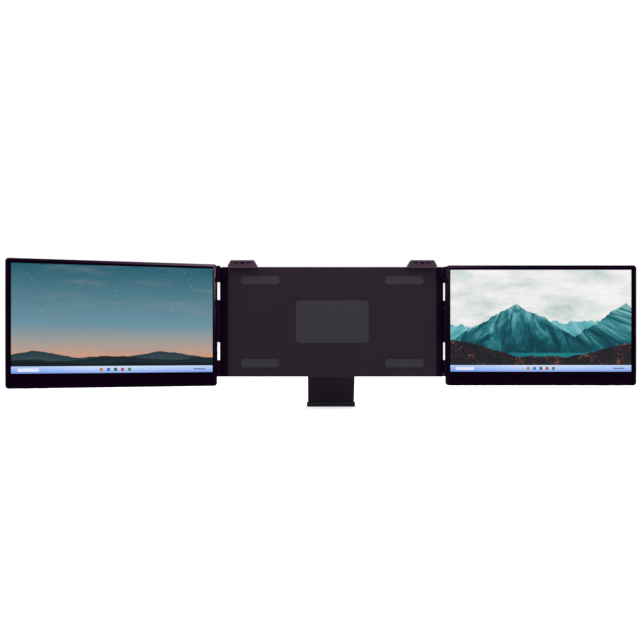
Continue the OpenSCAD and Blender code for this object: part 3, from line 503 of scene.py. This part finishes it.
def makeCover(v):
    # from the cavity's floor out over the seam, up the wall, and over a stepped edge to the back
    case = rectangle(*bezel["x"], *bezel["z"])
    edge, seam, seamEdge = v["edge"], bezel["seam"], bezel["seamEdge"]
    wall = [(v["wall"], v["inside"]), (v["wall"], seam), (seamEdge, seam), (0, seam + seamEdge)]
    wall += quarter(0, edge, v["step"] - edge, v["step"], True) + [(v["stepInset"], v["step"])]
    wall += quarter(v["stepInset"], v["stepInset"] + edge, v["back"] - edge, v["back"], True)
    skin = carried(case, bezel["cornerRadius"], wall, steps=8)
    cuts = [screwRecess(*v["recess"], v["back"], (x, v["screwZ"])) for x in v["screwX"]]
    w, h = v["slotSize"][0] / 2, v["slotSize"][1] / 2
    slot = flared(v["inside"] - past, v["back"], v["slotFlare"])
    offsets = (np.arange(v["slots"]) - v["slots"] // 2) * v["slotPitch"]
    cuts += [carried(rectangle(x - w, x + w, v["screwZ"] - h, v["screwZ"] + h), w * v["slotRound"], slot)
             for middle in v["speakerX"] for x in middle + offsets]
    bottom, (below, above, wider), gap = bezel["z"][0], v["mouth"], control["gap"]
    mouth = [(-wider, bottom - past), (-wider, bottom - below), (0, bottom + above),
             (0, bottom + 2 * past)]
    openings = [(x, width / 2, *v["portY"], v["portRadius"]) for x, width in v["ports"]]
    openings += [(x, width / 2 + gap, control["y"][0] - gap, control["y"][1] + gap, control["corner"])
                 for x, width in (control["power"], control["menu"])]
    cuts += [carried(rectangle(x - w, x + w, low, high), r, mouth, "z") for x, w, low, high, r in openings]
    return cut([skin], cuts)


def makeKey(v, x, width):
    # a key cap through the lower wall, with a crowned end
    stations = quarter(v["corner"], 0, v["bottom"], v["bottom"] + v["crown"], False) + [(0, v["top"])]
    return [carried(rectangle(x - width / 2, x + width / 2, *v["y"]), v["corner"], stations, "z")]


panel = dict(x=(7.15, 306.65), z=(-87.46, 86.69), y=(2.9, 4.1), corner=0.3)


def makePanel(v):
    return [carried(rectangle(*v["x"], *v["z"]), v["corner"], [(0, y) for y in v["y"]])]


def pictureUv(side):
    # 0 to 1 over the lit area, with u running to the viewer's right
    (x0, x1), (z0, z1) = bezel["windowX"], bezel["windowZ"]

    def uv(points):
        u = (points[:, 0] - x0) / (x1 - x0)
        return np.stack([u if side == "right" else 1 - u, (points[:, 2] - z0) / (z1 - z0)], 1)
    return uv


cross = dict(long=0.6, wide=0.13, depth=0.5, taper=0.1, corner=0.03)  # arms as shares of the radius


def makeScrewHead(radius, top, soft=0.15, height=0.8):
    # a flat head with a soft edge and a tapered cross in it, drawn along y about the origin
    head = revolved([(radius, top - height), (radius, top - soft), (radius - soft, top)], steps=28)
    a, b = cross["long"] * radius, cross["wide"] * radius
    star = [(b, -a), (b, -b), (a, -b), (a, b), (b, b), (b, a), (-b, a), (-b, b), (-a, b), (-a, -b), (-b, -b),
            (-b, -a)]
    taper = cross["taper"]
    tool = carried(star, cross["corner"], [(taper, top - cross["depth"]), (0, top + taper),
                                           (0, top + 3 * taper)], steps=2)
    mesh = cut([head], [tool])
    return pointsOf(mesh), [list(p.vertices) for p in mesh.polygons]


def addScrews(name, radius, back, places, place, body, node):
    # screw heads in a face at y = back, at (x, z) places
    points, faces = makeScrewHead(radius, back - headGap)
    heads = [(points + [x, 0, z], faces) for x, z in places]
    piece(name, heads, place, body, blackOxide, [node])


bezelMesh = makeBezel(bezel)
coverMesh = makeCover(cover)
for side in sides:
    body, place = side + "_screen", onScreen(side)
    piece(side + "_bezel", bezelMesh, place, body, sheenPaintedAbs, [side + "_front_bezel"],
          (mouldedAbs, onFace))
    piece(side + "_back_shell", coverMesh, place, body, texturedAbs, [side + "_rear_cover"])
    addScrews(side + "_shell_screws", cover["headR"], cover["back"],
              product(cover["screwX"], [cover["screwZ"]]), place, body, side + "_cover_screws")
    for kind, moving in (("power", side + "_power_button"), ("menu", side + "_menu_rocker")):
        piece(side + "_" + kind + "_key", makeKey(control, *control[kind]), place, moving,
              satinAbs, [moving])
print("screens ready")

# pictures
film = dict(roughness=0.3, specular=0.05, base="#030305")
skylineEdge = (-0.001, 0.0015)  # where a skyline's soft edge begins and ends, in picture heights


def ridge(add, picture, u, v, look):
    # paints what lies below a skyline, whose height is a base, a tilt, some humps and a noise of
    # u. A list of paints runs over the depth below the skyline.
    place = add("Math", u, look["seed"], operation="ADD")
    rough = add("TexNoise", {"W": place, "Scale": look["scale"], "Detail": look["detail"],
                             "Roughness": look["rough"]}, noise_dimensions="1D")
    height = add("Math", rough, look["amount"], look["base"], operation="MULTIPLY_ADD")
    height = add("Math", u, look["tilt"], height, operation="MULTIPLY_ADD")
    for centre, half, tall in look["humps"]:
        off = add("Math", u, centre, operation="SUBTRACT")
        off = add("Math", off, operation="ABSOLUTE")
        hump = add("MapRange", off, 0.0, half, tall, 0.0, interpolation_type=look.get("curve", "SMOOTHSTEP"))
        height = add("Math", height, hump, operation="ADD")
    below = add("Math", height, v, operation="SUBTRACT")
    inside = add("MapRange", below, *skylineEdge)
    paint = look["paint"]
    if isinstance(paint, list):
        paint = add("ValToRGB", add("MapRange", below, 0.0, look["fade"]), stops=paint)
    return add("MixRGB", inside, picture, paint)


taskbar = dict(
    height=0.064, cloud=dict(Scale=2.5, Detail=2.0), drift=0.5,
    strip=[(0.0, "#b0ccf8"), (0.5, "#d8e8fc"), (1.0, "#c0d8f8")],
    shade=[(0.0, "#a0b4e8"), (0.4, "#d0dcf8"), (1.0, "#ffffff")],
    tiles=((0.430, "#c07830"), (0.465, "#306cc0"), (0.500, "#404858"), (0.535, "#b04838"),
           (0.570, "#308858")),
    tileHalf=(0.0075, 0.0145),
    bars=((0.03, 0.13, 0.016, 0.046, "#e0e8f8"), (0.90, 0.96, 0.026, 0.038, "#6880a8")))


def addTaskbar(add, picture, u, v, wide):
    # a pale strip along the bottom with plain tiles and bars; it carries no signs
    drift = taskbar["drift"]
    cloud = add("TexNoise", {"Vector": wide, **taskbar["cloud"]})
    along = add("Math", cloud, drift, -drift / 2, operation="MULTIPLY_ADD")
    along = add("Math", along, u, operation="ADD")
    strip = add("ValToRGB", along, stops=taskbar["strip"])
    up = add("Math", v, taskbar["height"], operation="DIVIDE")
    strip = add("MixRGB", 1.0, strip, add("ValToRGB", up, stops=taskbar["shade"]), blend_type="MULTIPLY")
    halfU, halfV = taskbar["tileHalf"]
    middle = taskbar["height"] / 2
    tiles = [(c - halfU, c + halfU, middle - halfV, middle + halfV, colour) for c, colour in taskbar["tiles"]]
    for a, b, low, high, colour in (*tiles, *taskbar["bars"]):
        offU = add("Math", u, (a + b) / 2, (b - a) / 2, operation="COMPARE")
        offV = add("Math", v, (low + high) / 2, (high - low) / 2, operation="COMPARE")
        both = add("Math", offU, offV, operation="MULTIPLY")
        strip = add("MixRGB", both, strip, colour)
    under = add("Math", v, taskbar["height"], operation="LESS_THAN")
    return add("MixRGB", under, picture, strip)


def makePicture(name, paint, look):
    # a lit panel behind a matte anti-glare film: the picture glows and the film gives a dull sheen
    material, add = newMaterial(name)
    uv = add("UVMap", uv_map="picture")
    u, v, _ = add("SeparateXYZ", uv).outputs
    wide = add("Mapping", {"Vector": uv, "Scale": (16 / 9, 1, 1)})  # square units for patterns
    picture = addTaskbar(add, paint(add, look, u, v, wide), u, v, wide)
    shade(add, {"Base Color": film["base"], "Roughness": film["roughness"], "Emission Strength": 1.0,
                "Specular IOR Level": film["specular"], "Emission Color": picture})
    return material


dusk = dict(
    sky=[(0.10, "#d89878"), (0.26, "#a89c94"), (0.45, "#6890a0"), (1.0, "#205c6c")],
    wisp="#8f8f94", wispShare=0.5, wispFrom=(0.53, 0.8),
    wispNoise=dict(Scale=1.5, Detail=7.0, Roughness=0.58),
    wispSlant=dict(Rotation=(0, 0, -0.22), Scale=(0.8, 5.0, 1), Location=(0.3, 0.2, 0)),
    star="#cdeff4", starsFrom=(0.32, 0.62),
    stars=(dict(across=11.0, radius=0.06, power=6.0, share=1.0),
           dict(across=31.0, radius=0.12, power=4.0, share=0.85),
           dict(across=96.0, radius=0.24, power=2.4, share=0.5)),
    hills=(
        dict(scale=3.2, detail=6, rough=0.5, seed=2.3, amount=0.10, base=0.105, tilt=-0.02, fade=0.1,
             humps=((0.76, 0.3, 0.05), (0.14, 0.24, 0.035)), paint=[(0.0, "#243940"), (1.0, "#384d54")]),
        dict(scale=4.1, detail=6, rough=0.45, seed=7.9, amount=0.07, base=0.085, tilt=0.015, fade=0.08,
             humps=((0.45, 0.3, 0.02),), paint=[(0.0, "#15262c"), (1.0, "#1a2c32")]),
        dict(scale=5.3, detail=7, rough=0.55, seed=13.1, amount=0.05, base=0.068, tilt=0.0, fade=0.06,
             humps=((0.0, 0.4, 0.02),), paint=[(0.0, "#0f1b20"), (1.0, "#0c171b")])))


def paintDusk(add, look, u, v, wide):
    # evening sky with thin cloud and stars over low rolling hills
    picture = add("ValToRGB", v, stops=look["sky"])
    # cloud: noise stretched along a slant and cut off low
    slant = add("Mapping", {"Vector": wide, **look["wispSlant"]})
    wisp = add("TexNoise", {"Vector": slant, **look["wispNoise"]})
    wisp = add("MapRange", wisp, *look["wispFrom"], 0.0, look["wispShare"])
    picture = add("MixRGB", wisp, picture, look["wisp"])
    # stars: discs at the middles of random cells, each with its own brightness, fading out below
    clear = add("MapRange", v, *look["starsFrom"])
    for layer in look["stars"]:
        cells = add("TexVoronoi", {"Vector": wide, "Scale": layer["across"]})
        star = add("MapRange", cells, 0.5 * layer["radius"], layer["radius"], layer["share"], 0.0)
        shine = add("SeparateColor", cells.outputs["Color"])
        shine = add("Math", shine, layer["power"], operation="POWER")
        for share in (shine, clear):
            star = add("Math", star, share, operation="MULTIPLY")
        picture = add("MixRGB", star, picture, look["star"])
    for hill in look["hills"]:
        picture = ridge(add, picture, u, v, hill)
    return picture


valley = dict(
    cloud=[(0.32, "#bfcccb"), (0.44, "#d9e0dd"), (0.55, "#edecea"), (0.7, "#faf9f8")],
    rock=[(0.34, "#0a3c47"), (0.45, "#10525d"), (0.53, "#28747d"), (0.62, "#5b9fa5"), (0.74, "#bccfce")],
    farRock=[(0.35, "#3d949b"), (0.5, "#62b0b6"), (0.68, "#9bc8ca")],
    water=[(0.4, "#116b75"), (0.6, "#23858d")],
    forest=[(0.0, "#15181d"), (0.3, "#242329"), (0.55, "#30272b"), (0.7, "#50322e"), (0.9, "#a05638")],
    cloudAt=dict(Scale=(1.0, 2.6, 1)), cloudNoise=dict(Scale=2.2, Detail=8.0, Roughness=0.6),
    fan=(0.37, 0.95), fanAt=dict(Scale=(9.0, 4.0, 1)), ribRise=0.5, ribDrop=0.21,
    ribNoise=dict(Scale=1.0, Detail=9.0, Roughness=0.66, Distortion=0.7),
    treesAcross=74.0, treeNoise=dict(Scale=5.0, Detail=6.0, Roughness=0.6), autumn=(0.42, 0.63, 0.35),
    hills=(
        dict(scale=9.0, detail=7, rough=0.6, seed=4.4, amount=0.14, base=0.38, tilt=0.06, humps=(),
             paint="farRock"),
        dict(scale=6.0, detail=8, rough=0.55, seed=9.7, amount=0.14, base=0.14, tilt=-0.02,
             humps=((0.37, 0.46, 0.47),), curve="LINEAR", paint="rock"),
        dict(scale=7.0, detail=8, rough=0.6, seed=21.3, amount=0.14, base=0.06, tilt=0.10,
             humps=((0.97, 0.42, 0.44),), curve="LINEAR", paint="rock"),
        dict(scale=1.0, detail=0, rough=0.0, seed=0.0, amount=0.0, base=0.185, tilt=0.0, humps=(),
             paint="water"),
        dict(scale=12.0, detail=8, rough=0.72, seed=31.0, amount=0.07, base=0.115, tilt=0.0,
             humps=((0.0, 0.42, 0.16), (1.0, 0.36, 0.12)), paint="forest")))


def paintValley(add, look, u, v, wide):
    # overcast sky over a rocky range and a lake, with an autumn forest in front
    layer = add("Mapping", {"Vector": wide, **look["cloudAt"]})
    cloud = add("TexNoise", {"Vector": layer, **look["cloudNoise"]})
    picture = add("ValToRGB", cloud, stops=look["cloud"])
    # rock: noise over the run divided by the drop, so that its gullies fan out from a high point;
    # the higher rock is paler
    run = add("Math", u, look["fan"][0], operation="SUBTRACT")
    drop = add("Math", look["fan"][1], v, operation="SUBTRACT")
    fan = add("Math", run, drop, operation="DIVIDE")
    fan = add("CombineXYZ", fan, v)
    fan = add("Mapping", {"Vector": fan, **look["fanAt"]})
    ribs = add("TexNoise", {"Vector": fan, **look["ribNoise"]})
    ribs = add("Math", v, look["ribRise"], ribs, operation="MULTIPLY_ADD")
    ribs = add("Math", ribs, look["ribDrop"], operation="SUBTRACT")
    # forest: cells of dark spruce with some in autumn colours
    trees = add("TexVoronoi", {"Vector": wide, "Scale": look["treesAcross"]})
    mixed = add("TexNoise", {"Vector": wide, **look["treeNoise"]})
    mixed = add("MapRange", mixed, *look["autumn"])
    hue = add("SeparateColor", trees.outputs["Color"])
    hue = add("Math", hue, mixed, operation="MULTIPLY")
    paints = {name: add("ValToRGB", source, stops=look[name])
              for name, source in (("rock", ribs), ("farRock", ribs), ("water", cloud), ("forest", hue))}
    for hill in look["hills"]:
        picture = ridge(add, picture, u, v, {**hill, "paint": paints[hill["paint"]]})
    return picture


pictures = {"left": makePicture("dusk_picture", paintDusk, dusk),
            "right": makePicture("valley_picture", paintValley, valley)}
for side in sides:
    piece(side + "_display_panel", makePanel(panel), onScreen(side), side + "_screen",
          pictures[side], [side + "_lcd_panel"], uv=pictureUv(side))
print("pictures ready")

# bracket
bracket = dict(
    half=171, z=(-90, 90), corner=2, plate=(1.0, 2.6), plateEdge=0.4, back=12, inside=10.4,
    wall=1.6, backEdge=1.0, seamEdge=0.2, screwX=(-115, -40, 40, 115), screwZ=(-81, 81), recess=(2.6, 0.9),
    headR=2.4, groove=(9.0, 1.0, 0.35), grooveRadius=5, clipX=(-146.2, 146.2), slot=(13.4, 3.8, 6.6),
    slotDepth=4, slotRadius=0.5, slotFlare=(0.3, 0.1, 0.4))


def makeBracketBack(v):
    # from the cavity's floor over the seam and the wall to the back, with a shallow groove
    front, back, edge, seam = v["plate"][1], v["back"], v["backEdge"], v["seamEdge"]
    wall = [(v["wall"], v["inside"]), (v["wall"], front), (seam, front), (0, front + seam)]
    wall += quarter(0, edge, back - edge, back, True)
    skin = sheet(v, wall, 6)
    cuts = [screwRecess(*v["recess"], back, at) for at in product(v["screwX"], v["screwZ"])]
    w, h, (half, low, high) = v["half"], v["z"][1], v["slot"]
    mouth = flared(h - v["slotDepth"], h, v["slotFlare"])
    cuts += [carried(rectangle(x - half, x + half, low, high), v["slotRadius"], mouth, "z")
             for x in v["clipX"]]
    at, width, deep = v["groove"]
    ring = [(0, back + past), (0, back - deep), (width, back - deep), (width, back + past), (0, back + past)]
    groove = carried(rectangle(at - w, w - at, at - h, h - at), v["grooveRadius"], ring, ends=False, steps=8)
    return cut(cut([skin], cuts), [groove])


plate = sheet(bracket, edged(*bracket["plate"], bracket["plateEdge"]), 6)
piece("bracket_front", [plate], asDrawn, "bracket", texturedAbs, ["front_plate"])
piece("bracket_back", makeBracketBack(bracket), asDrawn, "bracket", texturedAbs,
      ["bracket_cover"])
addScrews("bracket_screws", bracket["headR"], bracket["back"], product(bracket["screwX"], bracket["screwZ"]),
          asDrawn, "bracket", "plate_screws")

pads = dict(y=(0, 1.0), edge=0.35, middle=(60, 35, 8), outer=(32, 7, 6.9), outerX=(-118, 118),
            outerZ=(-68, 68))


def makePads(v):
    # one wide cushion in the middle and a narrow one near each corner
    places = [(0, 0, v["middle"])] + [(x, z, v["outer"]) for x, z in product(v["outerX"], v["outerZ"])]
    return [carried(rectangle(x - w, x + w, z - h, z + h), r, edged(*v["y"], v["edge"]), steps=10)
            for x, z, (w, h, r) in places]


piece("lid_cushions", makePads(pads), asDrawn, "bracket", silicone, ["lid_pads"])

rail = dict(
    x=(171.0, 180.6), wingX=dict(left=184.6, right=182.8), wingY=3.6, y=(1.0, 12.0),
    radii=(0.5, 0.8, 0.3, 0.1, 1.2, 0.3), halfHeight=90, edge=0.3, armX=180.1, axisX=182.6, knuckleR=2.6,
    armBack=9.0, armRadii=(2.4, 2.55, 2.2, 0.3, 0.3, 0.3), armEdge=0.25, lugX=(173.0, 181.1),
    lugY=(-9.2, -7.0), lugZ=(70, 85), lugRadius=0.9, lugEdge=0.5, screwX=173.6, screwZ=(-60, -20, 20, 60),
    recess=(2.2, 0.9), headR=2.0)
bracketKnuckles = [(-85, -70), (-22, 22), (70, 85)]


def makeRail(v, side):
    # the rail's L-shaped section carried upwards, with arms that end in knuckles and a hooked lug
    (x0, x1), (y0, y1), xw, front = v["x"], v["y"], v["wingX"][side], hinge[side][1]
    section = [(x0, y0), (x1, y0), (x1, v["wingY"]), (xw, v["wingY"]), (xw, y1), (x0, y1)]
    body = carried(section, v["radii"], edged(-v["halfHeight"], v["halfHeight"], v["edge"]), "z")
    r, ax = v["knuckleR"], v["axisX"]
    arm = [(v["armX"], front - r), (ax + r, front - r), (ax + r, front + r), (ax, front + r),
           (ax, v["armBack"]), (v["armX"], v["armBack"])]
    arms = [carried(arm, v["armRadii"], edged(low, high, v["armEdge"]), "z", 8)
            for low, high in bracketKnuckles]
    lug = carried(rectangle(*v["lugX"], *v["lugZ"]), v["lugRadius"], edged(*v["lugY"], v["lugEdge"]))
    cuts = [screwRecess(*v["recess"], y1, (v["screwX"], z)) for z in v["screwZ"]]
    return cut(grown([body], [*arms, lug]), cuts)


for side in sides:
    piece(side + "_rail", makeRail(rail, side), onSide(side), "bracket", railCoat,
          [side + "_hinge_rail"])
addScrews("rail_screw_heads", rail["headR"], rail["y"][1],
          product((-rail["screwX"], rail["screwX"]), rail["screwZ"]), asDrawn, "bracket", "rail_screws")
print("bracket ready")

# clips
clip = dict(
    x=146.2, baseHalf=23.75, topHalf=19.0, z=(91.1, 99.7), y=(-8.2, 8.0), edge=0.5,
    headRadii=(0.5, 0.8, 2.0, 2.0), lipRadii=(0.1, 0.4, 0.35, 0.2, 0.1), lipEdge=0.4,
    lip=((-7.0, 91.6), (-8.2, 91.6), (-9.2, 87.2), (-8.7, 86.6), (-7.0, 86.6)), shank=(13, 4.2, 6.2, 34),
    flange=(16, 6), shankRadius=0.5, shankEdge=0.2, dash=(6.6, 7.2, 2.0, 95.4), arrowDrop=1.6, markRadius=0.3,
    markDepth=0.6, shadeSheetHalf=0.1, shadeSheetGap=0.02)


def clipMarks(v, low, high, inset):
    # two dashes with an arrow between them
    start, width, tall, z = v["dash"]
    half, flat, top = width / 2, z - tall / 4, z + tall / 2
    arrow = [(-half, flat), (0, z - v["arrowDrop"] * tall), (half, flat), (half, top), (-half, top)]
    dashes = [rectangle(a, a + width, z - tall / 2, top) for a in (start, -start - width)]
    return [carried(shape, v["markRadius"], [(inset, low), (inset, high)], steps=3)
            for shape in dashes + [arrow]]


def makeClip(v):
    # the head's outline carried front to back, the lip's section carried sideways, and the shank
    b, t, (low, high) = v["baseHalf"], v["topHalf"], v["z"]
    head = carried([(-b, low), (b, low), (t, high), (-t, high)], v["headRadii"], edged(*v["y"], v["edge"]))
    lip = carried(v["lip"], v["lipRadii"], edged(-b, b, v["lipEdge"]), "x", 4)
    (half, y0, y1, bottom), (wide, tall) = v["shank"], v["flange"]
    r, soft = v["shankRadius"], v["shankEdge"]
    shank = carried(rectangle(-half, half, bottom, low + past), r, edged(y0, y1, soft))
    flange = carried(rectangle(-wide, wide, bottom, bottom + tall), r, edged(y0 + hair, y1 - hair, soft))
    front = v["y"][0]
    return cut(grown([head], [lip, shank, flange]), clipMarks(v, front - 2 * past, front + v["markDepth"], 0))


clipMesh = makeClip(clip)
# thin dark sheets at the floors of the recessed marks, as painted shade
markFront = clip["y"][0] + clip["markDepth"]
markShadeSheets = clipMarks(clip, markFront - clip["shadeSheetHalf"], markFront + clip["shadeSheetHalf"], clip["shadeSheetGap"])
for side in sides:
    place, body = onSide(side, clip["x"]), side + "_clip"
    piece(side + "_clip_body", clipMesh, place, body, filledNylon, [body])
    piece(side + "_clip_mark_shade", markShadeSheets, place, body, recessShade)
print("clips ready")

# stand
base = dict(
    half=56, z=(48, 72), corner=5, y=(12, 13.8), edge=0.4, earX=(44, 50), earR=4.5,
    earRadii=(0.2, 4.45, 4.45, 0.2), earRoot=0.6, recess=(2.6, 0.9), headR=2.4,
    screws=[(x, standAxis[2] + dz) for x in (-22, 22) for dz in (-8.5, 8.5)])


def makeBase(v):
    # a screwed plate with two ears, each a rounded section carried sideways
    _, axisY, axisZ = standAxis
    edge, r, root, (near, far) = v["edge"], v["earR"], v["y"][0] + v["earRoot"], v["earX"]
    ear = [(root, axisZ - r), (axisY + r, axisZ - r), (axisY + r, axisZ + r), (root, axisZ + r)]
    ears = [carried(ear, v["earRadii"], edged(x, x + far - near, edge), "x", 10) for x in (near, -far)]
    cuts = [screwRecess(*v["recess"], v["y"][1], at) for at in v["screws"]]
    return cut(grown([sheet(v, edged(*v["y"], edge))], ears), cuts)


piece("stand_base", makeBase(base), asDrawn, "bracket", powderCoat, ["stand_bracket"])
addScrews("stand_screw_heads", base["headR"], base["y"][1], base["screws"], asDrawn, "bracket",
          "stand_screws")

leg = dict(
    half=52, z=(-150, -9), y=(-3.0, 1.5), backY=3.0, corner=8, edge=0.6, seamEdge=0.15, slotHalf=42.2,
    slotTop=-22, slotY=1.5, slotRadius=1.0, knuckleX=(30, 43.4), knuckleR=3.4, knuckleRound=0.99,
    knuckleEdge=0.3, tongue=1.2, tongueRadius=0.1, tongueEdge=0.2, tongueInto=4, notchHalf=10, notchTop=-141,
    notchRadius=8, notchFlare=(0.2, 0.1, 0.3))


def makeLeg(v):
    # the leg's outline carried through its thickness, slotted for the foot, with two tongues that
    # end in knuckles on the stand's axis
    (y0, y1), (low, top), seam, edge = v["y"], v["z"], v["seamEdge"], v["edge"]
    skin = sheet(v, quarter(edge, 0, y0, y0 + edge, False) + [(0, y1 - seam), (seam, y1)], 10)
    slot = carried(rectangle(-v["slotHalf"], v["slotHalf"], low - 5 * past, v["slotTop"]), v["slotRadius"],
                   [(0, -v["slotY"]), (0, y1 + past)])
    r, t, (near, far) = v["knuckleR"], v["tongue"], v["knuckleX"]
    knuckles = []
    for x in (near, -far):
        end = x + far - near
        knuckles.append(carried(rectangle(-r, r, -r, r), r * v["knuckleRound"],
                                edged(x, end, v["knuckleEdge"]), "x", 8))
        knuckles.append(carried(rectangle(-t, t, top - v["tongueInto"], 0), v["tongueRadius"],
                                edged(x + hair, end - hair, v["tongueEdge"]), "x", 3))
    return grown(cut([skin], [slot]), knuckles)


def makeLegBack(v):
    # the leg's rear skin, with a thumb notch at its lower edge
    front, back, edge, seam = v["y"][1], v["backY"], v["edge"], v["seamEdge"]
    skin = sheet(v, [(seam, front), (0, front + seam)] + quarter(0, edge, back - edge, back, True), 10)
    half, r = v["notchHalf"], v["notchRadius"]
    notch = carried(rectangle(-half, half, v["z"][0] - 2 * r, v["notchTop"]), r,
                    flared(0, back, v["notchFlare"]), steps=10)
    return cut([skin], [notch])


foot = dict(
    half=42, y=(-1.2, 1.2), z=(-222.49, -100), corner=3, edge=0.3, gripHalf=9, gripWidth=2, gripPitch=6,
    gripCount=5, gripStart=20, gripDepth=0.5, gripTaper=0.3, gripRadius=0.9, gripFlare=(0.1, 0.1, 0.1))


def makeFoot(v):
    # a thin blade with grip grooves across its back
    half, back = v["gripHalf"], v["y"][1]
    stations = [(v["gripTaper"], back - v["gripDepth"])] + flared(0, back, v["gripFlare"])[1:]
    starts = v["z"][0] + v["gripStart"] + v["gripPitch"] * np.arange(v["gripCount"])
    grooves = [carried(rectangle(-half, half, z, z + v["gripWidth"]), v["gripRadius"], stations)
               for z in starts]
    return cut([sheet(v, edged(*v["y"], v["edge"]))], grooves)


sole = dict(
    half=44, y=102.4, floor=-150, edge=0.8, radii=(0.2, 0.3, 0.6, 0.9, 0.9, 0.5),
    section=((-6.5, 0), (8.5, 0), (9, 1), (1.6, 8.5), (-5.4, 8.5), (-7, 1)))


def makeSole(v):
    # a wedge-shaped rubber boot carried sideways, flat where it stands
    section = np.array(v["section"]) + (v["y"], v["floor"])
    return [carried(section, v["radii"], edged(-v["half"], v["half"], v["edge"]), "x", 4)]


piece("leg_frame", makeLeg(leg), onStand, "stand_leg", powderCoat, ["stand_leg"])
piece("leg_back", makeLegBack(leg), onStand, "stand_leg", powderCoat, ["stand_leg_cover"])
piece("foot_blade", makeFoot(foot), onStand, "stand_foot", powderCoat, ["foot_plate"])
piece("foot_boot", makeSole(sole), asDrawn, "stand_foot", silicone, ["foot_sole"])
print("stand ready")

# studio
studio = dict(
    cameraMm=(-20.05, -846.9, -44.3),  # level, looking along +Y
    focalPx=516.8, framePx=640, horizonPx=348.8,  # the horizon is below the frame's middle
    sensorMm=36, clipM=(0.05, 60), floorMm=-150, floorSize=14, floorColour="#f4f4f5",
    floorRoughness=0.9, floorGlow=0.66, worldColour="#b4b4b8",
    lamps=(("key", (-0.5, -1.1, 1.5), 1.4, 15), ("fill", (1.2, -1.0, 0.9), 1.4, 8),
           ("back", (0.3, 1.5, 1.1), 1.3, 10)))


def seenDirectly(add):
    # 1 for rays that show the background itself: from the camera, in reflections and through glass
    path = add("LightPath")
    seen = path.outputs["Is Camera Ray"]
    for ray in ("Is Glossy Ray", "Is Transmission Ray"):
        seen = add("Math", seen, path.outputs[ray], operation="MAXIMUM")
    return seen


def makeStudio(v):
    scene = bpy.context.scene
    camera = bpy.data.cameras.new("camera")
    camera.sensor_width = v["sensorMm"]
    camera.lens = v["focalPx"] * camera.sensor_width / v["framePx"]
    camera.shift_y = (v["horizonPx"] - v["framePx"] / 2) / v["framePx"]
    camera.clip_start, camera.clip_end = v["clipM"]
    eye = linked("camera", camera)
    eye.location = np.array(v["cameraMm"]) * mm
    eye.rotation_euler = (math.pi / 2, 0, 0)
    scene.camera = eye

    half, z = v["floorSize"] / 2, v["floorMm"] * mm
    mesh = bpy.data.meshes.new("floor")
    mesh.from_pydata([(x, y, z) for x, y in rectangle(-half, half, -half, half)], [], [(0, 1, 2, 3)])
    material, add = newMaterial("matte_white_floor")
    lift = add("Math", seenDirectly(add), v["floorGlow"], operation="MULTIPLY")
    shade(add, {"Base Color": v["floorColour"], "Roughness": v["floorRoughness"], "Specular IOR Level": 0.0,
                "Emission Color": (1, 1, 1, 1), "Emission Strength": lift})
    mesh.materials.append(material)
    floor = linked("floor", mesh)

    world = bpy.data.worlds.new("studio")
    scene.world = world
    world.use_nodes = True
    world.node_tree.nodes.clear()
    add = partial(addNode, world.node_tree)
    light = add("Background", {"Color": v["worldColour"], "Strength": 1.0})
    white = add("Background", {"Color": (1, 1, 1, 1), "Strength": 1.0})
    add("OutputWorld", {"Surface": add("MixShader", seenDirectly(add), light, white)})

    for name, place, size, watts in v["lamps"]:
        data = bpy.data.lights.new(name, "AREA")
        data.size = size
        data.energy = watts
        lamp = linked(name, data)
        lamp.location = place
        x, y, z = -np.array(place)  # it points at the origin
        lamp.rotation_euler = (math.atan2(math.hypot(x, y), -z), 0, math.atan2(-x, y))
    scene.view_settings.view_transform = "Standard"


makeStudio(studio)
print("studio ready")
